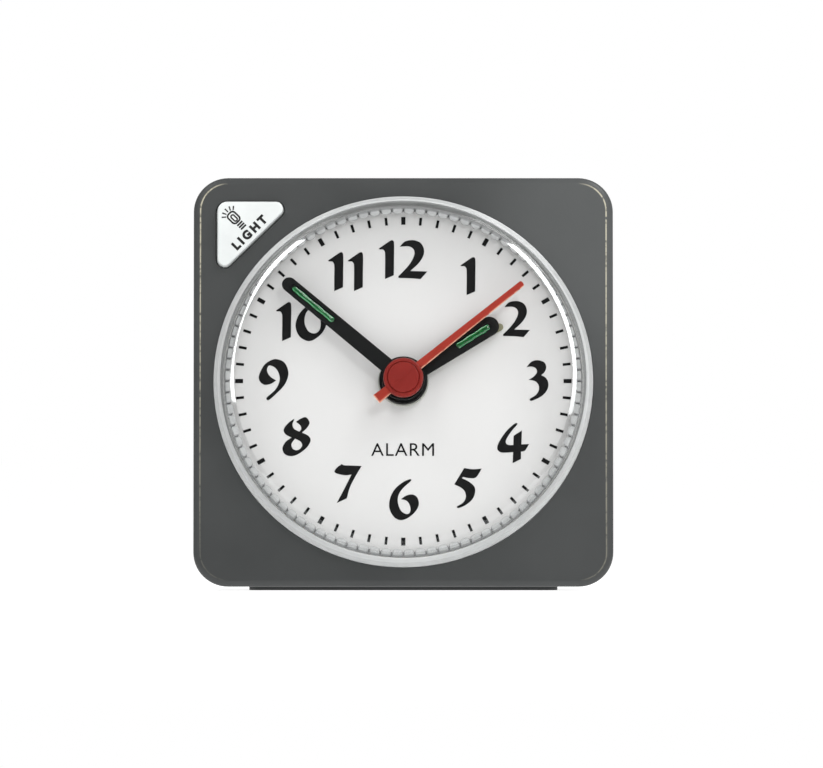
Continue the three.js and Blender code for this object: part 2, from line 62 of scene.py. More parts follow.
def clock_box(node):
    """Lowest and highest corners of a CAD node, in the clock's frame, in millimetres."""
    corners = [TO_CLOCK @ v.co for v in frame["nodes"][node].data.vertices]
    low = Vector([min(c[i] for c in corners) for i in range(3)])
    high = Vector([max(c[i] for c in corners) for i in range(3)])
    return low, high


# ---- driving dimensions
HALF = clock_box("front_shell")[1].x  # half the width of the face
PARTING = clock_box("front_shell")[1].y
REAR_FRONT = clock_box("rear_shell")[0].y
CASE_DEPTH = clock_box("rear_shell")[1].y
LEAN = math.atan2(-AXIS.z, AXIS.y)
WALL = 1.6  # thickness of both shells
CORNER = 4.8  # radius of the case's four corners
EDGE = 0.9  # rounding of the case's back edge
DRAFT = 1.6  # how much the rear shell draws in at its back
WINDOW = 26.27  # radius of the hole that the crystal fills
DIAL_FRONT = clock_box("dial")[0].y
DIAL_RADIUS = clock_box("dial")[1].x
INK = 0.03  # thickness of what is printed on the dial
SCREWS = [(-24.2, 21), (24.2, 21), (-24.2, -2.6), (24.2, -2.6)]
KNOBS = {"time": (8.5, 6.7), "alarm": (-8.5, 6.7)}
SOUND_HOLE = (0, 18.5)


# ---- materials
def srgb(red, green, blue):
    """An 8-bit display colour as linear light."""
    def channel(value):
        value /= 255
        return value / 12.92 if value <= 0.04045 else ((value + 0.055) / 1.055) ** 2.4
    return (channel(red), channel(green), channel(blue), 1)


def feed(tree, node, inputs):
    """Sets a node's inputs, each to a value or to another node's output."""
    for name, value in inputs.items():
        if isinstance(value, bpy.types.NodeSocket):
            tree.links.new(value, node.inputs[name])
        else:
            node.inputs[name].default_value = value


def add_node(tree, kind, inputs, **settings):
    """Adds a shader node with its settings and inputs."""
    made = tree.nodes.new("ShaderNode" + kind)
    for name, value in settings.items():
        setattr(made, name, value)
    feed(tree, made, inputs)
    return made


def remap(tree, value, low, high, start=0, end=1, ease="LINEAR"):
    """The output of a node that takes start to end into low to high."""
    inputs = {"Value": value, "From Min": start, "From Max": end, "To Min": low, "To Max": high}
    return add_node(tree, "MapRange", inputs, interpolation_type=ease).outputs["Result"]


def calculate(tree, operation, *values, clamp=False):
    """The output of a node that does one sum on its values."""
    node = add_node(tree, "Math", dict(enumerate(values)), operation=operation, use_clamp=clamp)
    return node.outputs["Value"]


def blend(tree, amount, first, second):
    """The output of a node that mixes two colours."""
    inputs = {"Factor": amount, "A": first, "B": second}
    return add_node(tree, "Mix", inputs, data_type="RGBA").outputs["Result"]


def where_on_piece(tree):
    return add_node(tree, "TexCoord", {}).outputs["Object"]


def noise(tree, scale, detail):
    """The output of a cloudy texture fixed to the piece."""
    inputs = {"Vector": where_on_piece(tree), "Scale": scale, "Detail": detail}
    return add_node(tree, "TexNoise", inputs).outputs["Fac"]


def shader_of(finish):
    return finish.node_tree.nodes["Principled BSDF"]


def new_finish(name):
    finish = bpy.data.materials.new(name)
    finish.use_nodes = True
    return finish, finish.node_tree


GRAIN_DEPTH = 0.05 * MM


def material(name, colour, roughness, metallic=0, mottle=(0.06, 180), grain=0.0, grain_scale=4000,
             rough_spread=0.08, coat=0, specular=0.5):
    """Moulded plastic, paint or metal: a colour mottled by a share at a scale, uneven gloss, a fine grain."""
    finish, tree = new_finish(name)
    share, scale = mottle
    cloud = noise(tree, scale, 4)
    dark = [c * (1 - share) for c in srgb(*colour)[:3]] + [1]
    light = [min(1, c * (1 + share)) for c in srgb(*colour)[:3]] + [1]
    smoothest, roughest = max(0.02, roughness - rough_spread), min(1, roughness + rough_spread)
    feed(tree, shader_of(finish), {
        "Metallic": metallic,
        "Coat Weight": coat,
        "Specular IOR Level": specular,
        "Base Color": blend(tree, remap(tree, cloud, 0, 1, 0.2, 0.8, "SMOOTHSTEP"), dark, light),
        "Roughness": remap(tree, cloud, smoothest, roughest),
    })
    if grain:
        height = noise(tree, grain_scale, 3)
        bump = add_node(tree, "Bump", {"Strength": grain, "Distance": GRAIN_DEPTH, "Height": height})
        feed(tree, shader_of(finish), {"Normal": bump.outputs["Normal"]})
    return finish


def clear_material(name, haze, sharpness, roughness, metallic=0, cloud=0.0, edge_haze=1.0):
    """Thin clear acrylic: it shows what is behind it, with a haze that grows where it is seen edge on."""
    finish, tree = new_finish(name)
    waves = noise(tree, 900, 3)
    facing = add_node(tree, "LayerWeight", {"Blend": 0.5}).outputs["Facing"]
    cover = remap(tree, calculate(tree, "POWER", facing, sharpness), haze, edge_haze)
    feed(tree, shader_of(finish), {
        "Base Color": srgb(238, 240, 240),
        "Metallic": metallic,
        "Roughness": remap(tree, waves, roughness * 0.5, roughness * 1.5),
        "Alpha": calculate(tree, "MULTIPLY_ADD", waves, cloud, cover, clamp=True),
    })
    return finish


def recolour(finish, change):
    """Puts a change between a finish's colour and its shader."""
    tree, shader = finish.node_tree, shader_of(finish)
    plain = shader.inputs["Base Color"].links[0].from_socket
    feed(tree, shader, {"Base Color": change(tree, plain)})


def paint_wear_and_light(finish, mark_colour, attribute, patch_from=0.3, patch_to=0.5):
    """Shows another colour where the mesh stores a mark, broken up by a grain between two levels. The marks are
    painted highlights and painted shade, and on the case's edge line also a rubbed edge.
    """
    def change(tree, plain):
        stored = add_node(tree, "Attribute", {}, attribute_name=attribute).outputs["Fac"]
        patchy = remap(tree, noise(tree, 1500, 4), 0, 1, patch_from, patch_to)
        return blend(tree, calculate(tree, "MULTIPLY", stored, patchy), plain, srgb(*mark_colour))
    recolour(finish, change)


def shade_outwards(finish, centre, near, far, darkest):
    """Paints light and shade into a finish's colour: it darkens with distance from a point, from its own colour to
    a darkest share of it.
    """
    def change(tree, plain):
        ends = {0: where_on_piece(tree), 1: centre}
        distance = add_node(tree, "VectorMath", ends, operation="DISTANCE").outputs["Value"]
        share = remap(tree, distance, 1, darkest, near, far, "SMOOTHSTEP")
        return add_node(tree, "VectorMath", {0: plain, "Scale": share}, operation="SCALE").outputs["Vector"]
    recolour(finish, change)


case_plastic = material("case_plastic", (86, 88, 88), 0.34, mottle=(0.09, 60), grain=0.12, specular=0.22)
SHEEN_CORNER = (27, 0, 20)  # painted sheen: the case's colour is palest near its upper right corner and darker away from it, in place of a soft reflection
shade_outwards(case_plastic, TO_ROW @ Vector(SHEEN_CORNER), 6 * MM, 24 * MM, 0.67)
# a cream line along the front's crisp edge: partly a rubbed edge, partly a painted highlight, most at the upper
# corners and sides
paint_wear_and_light(case_plastic, (214, 208, 184), "wear_and_highlight")
knob_plastic = material("knob_plastic", (40, 41, 42), 0.38, mottle=(0.08, 180), grain=0.4)

clear_acrylic = clear_material("clear_acrylic", 0.025, 12, 0.04, metallic=1)
inner_acrylic = clear_material("inner_acrylic", 0, 12, 0.04, metallic=1)
bevel_acrylic = clear_material("bevel_acrylic", 0, 1.3, 0.05, metallic=1, edge_haze=7.6)
shoulder_acrylic = clear_material("shoulder_acrylic", 0.035, 3, 0.06, metallic=0.5, cloud=0.05)
rim_acrylic = clear_material("rim_acrylic", 0.48, 2, 0.14, cloud=0.12)
ring_acrylic = material("ring_acrylic", (198, 200, 200), 0.25, mottle=(0.08, 900))
shader_of(ring_acrylic).inputs["Alpha"].default_value = 0.85
# painted shade: darker grey in the notches between the scallops and along the ring's outer edge
paint_wear_and_light(ring_acrylic, (122, 124, 125), "notch", 0, 0.3)

dial_card = material("dial_card", (228, 228, 227), 0.7, mottle=(0.012, 90), grain=0.03)
# painted shade: the dial card darkens outwards from a point just below its middle, most at its top edge, in place
# of the crystal rim's shadow
DIAL_LEAST_SHADE = (0, 0, -4)
shade_outwards(dial_card, ORIGIN + MM * Vector(DIAL_LEAST_SHADE), 12 * MM, 28 * MM, 0.82)
seat_white = material("seat_white", (236, 236, 234), 0.6, mottle=(0.02, 400))
dial_ink = material("dial_ink", (12, 12, 13), 0.7, mottle=(0.08, 900), rough_spread=0.1, specular=0.2)
tick_ink = material("tick_ink", (8, 8, 9), 0.7, mottle=(0.1, 900), rough_spread=0.1, specular=0.2)
button_white = material("button_white", (235, 239, 238), 0.18, mottle=(0.04, 320), coat=0.3)
button_ink = material("button_ink", (10, 10, 9), 0.6, mottle=(0.1, 900))

hand_black = material("hand_black", (12, 14, 14), 0.5, mottle=(0.2, 600), grain=0.3, specular=0.2)
hand_red = material("hand_red", (160, 46, 31), 0.45, mottle=(0.08, 500), grain=0.3, specular=0.3)
# painted highlight: a pale peach line along the second hand's right edge and tail
paint_wear_and_light(hand_red, (238, 176, 148), "painted_edge_highlight")
hub_red = material("hub_red", (134, 32, 25), 0.4, mottle=(0.08, 500), grain=0.3, specular=0.3)
hand_khaki = material("hand_khaki", (132, 131, 104), 0.5, mottle=(0.1, 500))
alarm_hub_grey = material("alarm_hub_grey", (176, 177, 170), 0.4, mottle=(0.08, 500))
lume_green = material("lume_green", (16, 98, 46), 0.16, mottle=(0.45, 1400), coat=0.8,
                      grain=0.8, grain_scale=1500)
# painted highlight: pale green lines along the lume strips
paint_wear_and_light(lume_green, (96, 196, 134), "painted_highlight_line")

gear_acetal = material("gear_acetal", (236, 229, 205), 0.45, mottle=(0.03, 180), grain=0.2)
frame_plastic = material("frame_plastic", (214, 212, 204), 0.55, mottle=(0.04, 180), grain=0.3)
plain_steel = material("plain_steel", (176, 178, 180), 0.3, metallic=1, mottle=(0.12, 700))
copper_wire = material("copper_wire", (176, 98, 54), 0.35, metallic=1, mottle=(0.25, 2500), grain=0.8)
board_green = material("board_green", (38, 96, 62), 0.45, mottle=(0.15, 900))
chip_epoxy = material("chip_epoxy", (22, 22, 23), 0.55, mottle=(0.15, 1500), grain=0.5)
sprung_brass = material("sprung_brass", (196, 164, 88), 0.3, metallic=1, mottle=(0.12, 700))
cell_sleeve = material("cell_sleeve", (82, 104, 118), 0.25, mottle=(0.1, 200), coat=0.4)
cell_gold = material("cell_gold", (190, 142, 74), 0.3, metallic=0.7, mottle=(0.06, 400))


# ---- making meshes
def add_object(name, data):
    obj = bpy.data.objects.new(name, data)
    bpy.context.scene.collection.objects.link(obj)
    return obj


def raw_object(name, verts, faces):
    mesh = bpy.data.meshes.new(name)
    mesh.from_pydata(verts, [], faces)
    mesh.update()
    return add_object(name, mesh)


def face_outwards(obj, weld=0.0):
    """Turns every face outwards, after merging the points that lie within a distance of each other."""
    work = bmesh.new()
    work.from_mesh(obj.data)
    if weld:
        bmesh.ops.remove_doubles(work, verts=work.verts, dist=weld)
    bmesh.ops.recalc_face_normals(work, faces=work.faces)
    work.to_mesh(obj.data)
    work.free()
    return obj


def skin(name, rings, closed):
    """A body through rings of points with equal counts: closed like a hoop, or else capped at both ends."""
    count = len(rings[0])
    faces = []
    for this in range(len(rings) if closed else len(rings) - 1):
        after = (this + 1) % len(rings)
        for i in range(count):
            j = (i + 1) % count
            faces.append((this * count + i, this * count + j, after * count + j, after * count + i))
    if not closed:
        last = (len(rings) - 1) * count
        faces += [tuple(range(count - 1, -1, -1)), tuple(range(last, last + count))]
    return face_outwards(raw_object(name, [point for ring in rings for point in ring], faces))


def through(name, rings):
    return skin(name, rings, closed=False)


def circle(radius, depth, segments, centre=(0, 0)):
    """Points clockwise round a circle from its top, in a plane across the axis."""
    angles = [2 * math.pi * i / segments for i in range(segments)]
    return [(centre[0] + radius * math.sin(a), depth, centre[1] + radius * math.cos(a)) for a in angles]


def turned(name, profile, segments=96, centre=(0, 0)):
    """A closed profile of (radius, depth) that starts and ends on the axis, turned about it."""
    return through(name, [circle(radius, depth, segments, centre) for radius, depth in profile[1:-1]])


def rod(name, radius, front, back, segments, centre=(0, 0)):
    return turned(name, [(0, front), (radius, front), (radius, back), (0, back)], segments, centre)


def hoop(name, profile, segments):
    """A closed profile of (radius, depth) off the axis, turned about it into a ring."""
    rounds = [circle(radius, depth, segments) for radius, depth in profile]
    return skin(name, list(zip(*rounds)), closed=True)


def arc(cx, cy, radius, start, end, steps):
    """Points on an arc, with angles in degrees from the first axis towards the second."""
    angles = [math.radians(start + (end - start) * i / steps) for i in range(steps + 1)]
    return [(cx + radius * math.cos(a), cy + radius * math.sin(a)) for a in angles]


def combine(base, operation, *tools):
    """Joins or cuts closed meshes and drops the tools."""
    for tool in tools:
        step = base.modifiers.new("combine", "BOOLEAN")
        step.operation = operation
        step.solver = "MANIFOLD"
        step.object = tool
    graph = bpy.context.evaluated_depsgraph_get()
    made = bpy.data.meshes.new_from_object(base.evaluated_get(graph))
    base.modifiers.clear()
    base.data = made
    for tool in tools:
        bpy.data.objects.remove(tool)
    return base


def cut(base, *tools):
    return combine(base, "DIFFERENCE", *tools)


def join(base, *tools):
    return combine(base, "UNION", *tools)


FLAT_AREA = 12  # faces that share a normal and cover this many square millimetres count as flat
STRONG = 16383  # the strength at which a face alone sets its corners' normals


def mark_flats(mesh):
    """Makes big flat faces rule the normals at their borders, so that they shade evenly."""
    spread = {}
    for face in mesh.polygons:
        key = tuple(round(c * 400) for c in face.normal)
        spread.setdefault(key, []).append(face)
    strength = mesh.attributes.new("__mod_weightednormals_faceweight", "INT", "FACE")
    for faces in spread.values():
        if sum(face.area for face in faces) > FLAT_AREA:
            for face in faces:
                strength.data[face.index].value = STRONG


def place(obj, body, finish, replaced=(), turn=0, centre=(0, 0), crease=32):
    """Takes a mesh from the clock's frame into the row's, and gives it its body and finish."""
    mark_flats(obj.data)
    spin = Matrix.Translation((centre[0], 0, centre[1])) @ Matrix.Rotation(turn, 4, "Y")
    obj.data.transform(TO_ROW @ spin)
    obj.data.materials.clear()
    obj.data.materials.append(finish)
    obj.data.shade_smooth()
    obj.data.set_sharp_from_angle(angle=math.radians(crease))
    weighted = obj.modifiers.new("even_normals", "WEIGHTED_NORMAL")
    weighted.keep_sharp = True
    weighted.use_face_influence = True
    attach(obj, body)
    if replaced:
        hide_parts(*replaced)
    return obj


def store(obj, name, values):
    """Stores a value at each of a mesh's points, which a finish reads by its name."""
    obj.data.attributes.new(name, "FLOAT", "POINT").data.foreach_set("value", values)


def use_finishes(obj, numbers, *finishes):
    """Gives a placed piece more finishes. Numbers holds each face's place in its list of finishes."""
    for finish in finishes:
        obj.data.materials.append(finish)
    obj.data.polygons.foreach_set("material_index", numbers)


def off_axis(face):
    return math.hypot(face.center.x, face.center.z)


WELD = 1e-4  # points of filled outlines that lie this close are one point


def flat_solid(name, outlines, back, front, bevel=0.0, curve_object=None, weight=0.0):
    """Filled outlines in the face's plane with thickness. An outline inside another is a hole."""
    if curve_object is None:
        curve = bpy.data.curves.new(name, "CURVE")
        curve.dimensions = "2D"
        curve.fill_mode = "BOTH"
        for outline in outlines:
            spline = curve.splines.new("POLY")
            spline.points.add(len(outline) - 1)
            spline.use_cyclic_u = True
            for point, (x, z) in zip(spline.points, outline):
                point.co = (x, z, 0, 1)
        curve_object = add_object(name, curve)
    curve = curve_object.data
    curve.extrude = (back - front) / 2 - bevel
    curve.bevel_depth = bevel
    curve.bevel_resolution = 2
    curve.offset = weight - bevel
    bpy.context.view_layer.update()
    graph = bpy.context.evaluated_depsgraph_get()
    mesh = bpy.data.meshes.new_from_object(curve_object.evaluated_get(graph))
    bpy.data.objects.remove(curve_object)
    mesh.transform(Matrix.Translation((0, (back + front) / 2, 0)) @ Matrix.Rotation(math.pi / 2, 4, "X"))
    return face_outwards(add_object(name, mesh), WELD)


CAP_SHARE = 0.73  # a capital's height as a share of the font's size


def lettering(name, word, cap_height, back, front, spacing, offset=0.0, weight=0.0):
    """A word in a plain sans, centred on its own middle. Weight thickens its strokes on every side."""
    curve = bpy.data.curves.new(name, "FONT")
    curve.body = word
    curve.align_x = "CENTER"
    curve.align_y = "CENTER"
    curve.size = cap_height / CAP_SHARE
    curve.space_character = spacing
    solid = flat_solid(name, None, back, front, 0, add_object(name, curve), weight)
    solid.data.transform(Matrix.Translation((0, 0, offset)))
    return solid


def box_solid(name, low, high):
    (x0, y0, z0), (x1, y1, z1) = low, high
    return through(name, [[(x0, y, z0), (x1, y, z0), (x1, y, z1), (x0, y, z1)] for y in (y0, y1)])


# ---- the case
def rounded_box(low_x, high_x, low_z, high_z, radius, steps, margin=0):
    """Points round a box with round corners, from its upper right by the left, grown by a margin."""
    left, right, bottom, top = low_x + radius, high_x - radius, low_z + radius, high_z - radius
    points = []
    for quarter, (x, z) in enumerate([(right, top), (left, top), (left, bottom), (right, bottom)]):
        points += arc(x, z, radius + margin, 90 * quarter, 90 * quarter + 90, steps)
    return points


def at_depth(depth, points):
    return [(x, depth, z) for x, z in points]


def case_ring(depth, inset):
    """The case's rounded square section at one depth. Its underside is level on the table."""
    side = HALF - DRAFT * max(depth - PARTING, 0) / (CASE_DEPTH - PARTING) - inset
    bottom = -HALF + depth * math.tan(LEAN) + inset
    return at_depth(depth, rounded_box(-side, side, bottom, side, max(CORNER - inset, 1), 14))


def quarter_round(radius, steps):
    """(along, across) pairs that take a quarter round from one face to the next."""
    angles = [math.pi / 2 * i / steps for i in range(steps + 1)]
    return [(radius * (1 - math.sin(a)), radius * (1 - math.cos(a))) for a in angles]


SEAM = 0.12  # chamfer of both shells where they meet
CREST = 0.94  # how far in from the side the front's crisp edge line lies
CREST_HALF = 0.07  # how far either side of that line the rubbed edge and its painted highlight reach
CREST_TURN = 28  # degrees the surface turns within that line


def front_edge():
    """(depth, inset) pairs from the side to the face: a full round that ends in a thin crisp line."""
    turns = [90, 80, 70, 60, 50, 40, 32, CREST_TURN, CREST_TURN * 0.7, CREST_TURN * 0.35, 0]
    lengths = [0.14, 0.14, 0.14, 0.14, 0.13, 0.12, 0.12, 0.1, 0.1, 0.1]
    inset, depth = 0, 0
    pairs = [(0, 0)]
    for k, length in enumerate(lengths):
        tilt = math.radians((turns[k] + turns[k + 1]) / 2)
        inset += length * math.cos(tilt)
        depth -= length * math.sin(tilt)
        pairs.append((depth, inset))
    return [(d - depth, i * (CREST + 2 * CREST_HALF) / inset) for d, i in pairs]


def round_hole(radius, mouth, through_to, round_edge, facing, centre=(0, 0), segments=96):
    """A cutter for a round hole whose mouth, at a depth, has a rounded edge."""
    profile = [(0, mouth - facing), (radius + round_edge, mouth - facing)]
    profile += [(radius + out, mouth + facing * down) for out, down in quarter_round(round_edge, 4)]
    profile += [(radius, through_to), (0, through_to)]
    return turned("cutter", profile, segments, centre)


# The button's sides, the length of its slope and the radii of its square and its sharp corners.
BUTTON = {"left": -25.8, "top": 25.45, "slope": 40.45, "square": 1.4, "sharp": 1.1}
BUTTON_GAP = 0.12
MOUTH_FLARE = 0.14  # rounding at the mouth of the button's hole


def button_ring(depth, margin):
    """The snooze button's rounded triangle, grown outwards by a margin."""
    left, top, square, sharp = BUTTON["left"], BUTTON["top"], BUTTON["square"], BUTTON["sharp"]
    along = BUTTON["slope"] + sharp * math.sqrt(2)
    points = arc(left + square, top - square, square + margin, 90, 180, 10)
    points += arc(left + sharp, left + sharp + along, sharp + margin, 180, 315, 10)
    points += arc(top - sharp - along, top - sharp, sharp + margin, -45, 90, 10)
    return at_depth(depth, points)


TONGUE_INSET = 0.8  # the front shell's tongue lies this far in from the side


def front_shell():
    outer = [*reversed(front_edge()), (PARTING - SEAM, 0), (PARTING, SEAM)]
    outside = through("front_shell", [case_ring(d, i) for d, i in outer])
    tongue = through("tongue", [case_ring(d, TONGUE_INSET) for d in (PARTING - 1, PARTING + 0.9)])
    inside = through("inside", [case_ring(WALL, WALL), case_ring(PARTING + 2, WALL)])
    window = round_hole(WINDOW, 0, 3, 0.06, 1, segments=160)
    turns = (0, 0.5, 1, math.pi / 2)
    curve = [(MOUTH_FLARE * (1 - math.cos(a)), MOUTH_FLARE * (1 - math.sin(a))) for a in turns]
    mouth = [(-1, MOUTH_FLARE), *curve, (3, 0)]
    button_hole = through("button_hole", [button_ring(d, BUTTON_GAP + m) for d, m in mouth])
    return cut(join(outside, tongue), inside, window, button_hole)


def level_block(name, width, near, far, low, high, radius=0.12):
    """A block with rounded ends that is square to the table, as the foot is."""
    underside = -HALF * math.cos(LEAN)
    half_width, half_length = width / 2, (far - near) / 2
    ring = rounded_box(-half_width, half_width, -half_length, half_length, 1, 6)
    rings = []
    middle = (near + far) / 2
    tilt = Matrix.Rotation(LEAN, 4, "X")
    for height, inset in [(low, radius), (low + radius * 0.3, radius * 0.3), (low + radius, 0), (high, 0)]:
        shrink_x, shrink_y = 1 - inset / half_width, 1 - inset / half_length
        points = [Vector((x * shrink_x, middle + y * shrink_y, underside + height)) for x, y in ring]
        rings.append([tuple(tilt @ p) for p in points])
    return through(name, rings)


def rounded_prism(name, low_x, high_x, low_z, high_z, radius, sections):
    """A rounded rectangle through (depth, margin) sections."""
    sides = (low_x, high_x, low_z, high_z, radius, 5)
    return through(name, [at_depth(depth, rounded_box(*sides, margin)) for depth, margin in sections])


# (depth, margin) sections of an opening in the back with a chamfered mouth.
OPENING = [(27, 0), (CASE_DEPTH - 0.15, 0), (CASE_DEPTH, 0.12), (CASE_DEPTH + 1, 0.12)]


def rear_shell():
    back = [(CASE_DEPTH - ahead, inset) for ahead, inset in quarter_round(EDGE, 7)]
    sections = [(REAR_FRONT, SEAM), (REAR_FRONT + SEAM, 0), *back]
    outside = through("rear_shell", [case_ring(d, i) for d, i in sections])
    groove = through("groove", [case_ring(REAR_FRONT - 1, 0.7), case_ring(PARTING + 1.1, 0.7)])
    inside = through("inside", [case_ring(REAR_FRONT - 2, WALL), case_ring(CASE_DEPTH - WALL, WALL)])
    columns = [rod("column", 2.6, 16, 29, 32, s) for s in SCREWS]
    shelf = box_solid("shelf", (-25.6, 17, -6), (25.6, 29, -5))
    foot = level_block("foot", 42.7, 6.9, 23, -0.57, 0.8)
    body = join(cut(outside, groove, inside), *columns, shelf, foot)
    trim = through("trim", [case_ring(REAR_FRONT - 2, -20), case_ring(REAR_FRONT, -20)])
    screw_holes = [round_hole(2.2, CASE_DEPTH, 25.3, 0.2, -1, s, 40) for s in SCREWS]
    knob_holes = [round_hole(1.1, CASE_DEPTH, 27, 0.15, -1, s, 32) for s in KNOBS.values()]
    floor, above = CASE_DEPTH - 0.35, CASE_DEPTH + 1
    dish = [(0, floor), (5.7, floor), (6, above), (0, above)]
    dishes = [turned("dish", dish, 72, s) for s in KNOBS.values()]
    sounds = [round_hole(0.7, CASE_DEPTH, 27, 0.12, -1, s, 20) for s in sound_holes()]
    door = rounded_prism("doorway", -25.6, 25.6, -20.8, -6.2, 0.6, OPENING)
    slot = rounded_prism("slot", -17.5, -14.5, 15.5, 22.5, 0.5, OPENING)
    return cut(body, trim, *screw_holes, *dishes, *knob_holes, *sounds, door, slot)


def sound_holes():
    """One hole with six round it."""
    return [SOUND_HOLE, *((x, z) for x, _, z in circle(2.6, 0, 6, SOUND_HOLE))]


def edge_inset(x, z):
    """How far a point of the front is in from the case's outline."""
    middle = HALF - CORNER
    across, along = abs(x) - middle, abs(z) - middle
    if across > 0 and along > 0:
        return CORNER - math.hypot(across, along)
    return CORNER - max(across, along)


def ramp(value, start, length):
    """0 up to a start, 1 from a length beyond it."""
    return min(1, max(0, (value - start) / length))


LINE_DEPTH = 0.08  # the front's edge line lies nearer the face than this
LINE_FROM, LINE_WITHIN = 24.2, 2.5  # how far out the rubbed edge and its painted highlight start, and the distance in which they grow to full


def edge_wear_and_highlight(point):
    """How strongly the edge line is marked at a point, as a rubbed edge with a painted highlight: most at the
    upper corners and sides.
    """
    x, depth, z = point.co
    if depth > LINE_DEPTH or abs(edge_inset(x, z) - CREST) > CREST_HALF:
        return 0
    height = (z + HALF) / (2 * HALF)
    lowest = 0.25 if x > 0 else 0.1
    return ramp(abs(x), LINE_FROM, LINE_WITHIN) * (lowest + (1 - lowest) * ramp(height, 0.35, 0.2))


shell = front_shell()
# the rubbed edge and its painted highlight, stored at each point of the front
store(shell, "wear_and_highlight", [edge_wear_and_highlight(point) for point in shell.data.vertices])
place(shell, "case", case_plastic, ["front_shell"])
place(rear_shell(), "case", case_plastic, ["rear_shell"])


def battery_door():
    sections = [(28.4, 0), (CASE_DEPTH - 0.2, 0), (CASE_DEPTH - 0.06, -0.06), (CASE_DEPTH, -0.2)]
    plate = rounded_prism("battery_door", -25.3, 25.3, -20.5, -6.5, 0.4, sections)
    ribs = [box_solid("rib", (-24, 27.2, z), (24, 28.6, z + 0.8)) for z in (-19.7, -8.1)]
    depths = [(CASE_DEPTH - 0.4, -0.1), (CASE_DEPTH + 0.2, 0)]
    grooves = [rounded_prism("groove", -5, 5, z, z + 0.45, 0.2, depths) for z in (-9.6, -10.6, -11.6, -12.6)]
    return cut(join(plate, *ribs), *grooves)


place(battery_door(), "door", case_plastic, ["battery_door"])


# ---- the crystal and light ring
BEVEL_START, BEVEL_END = 23.42, 23.95  # radii of the flat bevel that mirrors the strip lights
BEVEL_DEPTH = -4.42
BEVEL_TILT = 20  # degrees from the face's plane
RIM_OUTER = 24.92
WALL_MIDDLE = (25.3, -1.72)  # radius and depth where the wall's clear front half ends
FRONT, SHOULDER, REAR_WALL, BEVEL, INSIDE = range(5)  # the crystal's finishes in their order on it


def crystal():
    """A domed front, a bevel, a round shoulder and a sloping wall down to a lip and a hidden flange."""
    tilt = math.radians(BEVEL_TILT)
    radius = (RIM_OUTER - BEVEL_END) / (1 - math.sin(tilt))
    bevel_back = BEVEL_DEPTH + (BEVEL_END - BEVEL_START) * math.tan(tilt)
    middle = (RIM_OUTER - radius, bevel_back + radius * math.cos(tilt))
    dome = [(0, -4.9), (8, -4.86), (16, -4.72), (21, -4.55), (BEVEL_START, BEVEL_DEPTH)]
    shoulder = arc(*middle, radius, BEVEL_TILT - 90, 0, 8)
    lip = [(25.72, -0.48), (26.18, -0.24), (26.24, 0), (26.24, 1.9)]
    flange = [(27.1, 1.9), (27.1, 2.6)]
    inner = [(24.95, 2.6), (24.95, 0.2), (24.85, -0.6), (23.8, -3.0), (23.2, -3.45), (16, -3.6), (0, -3.7)]
    made = turned("crystal", [*dome, *shoulder, WALL_MIDDLE, *lip, *flange, *inner], 160)
    flat = box_solid("flat", (-30, 1.6, -30), (30, 3, -26.45))
    return cut(made, flat)


def crystal_finish(face):
    outward = face.normal.x * face.center.x + face.normal.z * face.center.z
    if outward < 0:
        return INSIDE
    if off_axis(face) < BEVEL_START - 0.01:
        return FRONT
    if off_axis(face) < BEVEL_END - 0.01:
        return BEVEL
    return REAR_WALL if face.center.y > WALL_MIDDLE[1] else SHOULDER


cover = crystal()
crystal_faces = [crystal_finish(face) for face in cover.data.polygons]
place(cover, "case", clear_acrylic, ["crystal"], crease=14)
use_finishes(cover, crystal_faces, shoulder_acrylic, rim_acrylic, bevel_acrylic, inner_acrylic)

RIBS, PER_RIB = 96, 10  # scallops round the light ring, and steps in each
RING_OUTER, RING_TOP, RING_INNER = 24.8, 24.56, 24.15
RING_FRONT, RING_BACK = -0.45, 0.3


def light_ring():
    """A ring with scallops round its inner side and a notch between each two. Its mesh stores painted shade for
    the notches and its outer edge.
    """
    loops, painted_notch_shade = [], []
    for i in range(RIBS * PER_RIB):
        a = 2 * math.pi * i / (RIBS * PER_RIB)
        step = i % PER_RIB
        bulge = math.sin(math.pi * step / PER_RIB) ** 0.5
        notch = 1 if step == 0 else 0
        inner = RING_INNER - 0.4 * bulge
        front = RING_FRONT + 0.5 * notch
        profile = [(RING_OUTER - 0.12 * (1 - bulge), RING_BACK), (inner + 0.04, RING_BACK),
                   (inner, front + 0.15), (inner + 0.1, front), (RING_TOP, front)]
        loops.append([(r * math.sin(a), d, r * math.cos(a)) for r, d in profile])
        # painted shade: full in each notch, weaker beside it and half on the outer edge
        shade = 0.35 if step in (1, PER_RIB - 1) else notch
        painted_notch_shade += [0.5] + [shade] * 4
    made = skin("light_ring", loops, closed=True)
    store(made, "notch", painted_notch_shade)
    return made


place(light_ring(), "case", ring_acrylic, ["light_ring"], crease=30)

# The seat: a white ring under the crystal's rim, with a groove in its front.
seat_inside = [(24.76, 0.44), (24.86, 0.34), (24.92, 0.44), (24.9, 2.68)]
seat_groove = [(25.34, 2.68), (25.4, 2.9), (25.46, 2.68)]
seat_profile = [*seat_inside, *seat_groove, (27.0, 2.68), (27.0, 3.1), (24.76, 3.1)]
place(hoop("crystal_seat", seat_profile, 160), "case", seat_white)


# ---- the dial and its print
dial = cut(rod("dial", DIAL_RADIUS, DIAL_FRONT, 1.2, 144), rod("bore", 2.9, -1, 3, 48))
place(dial, "case", dial_card, ["dial"])

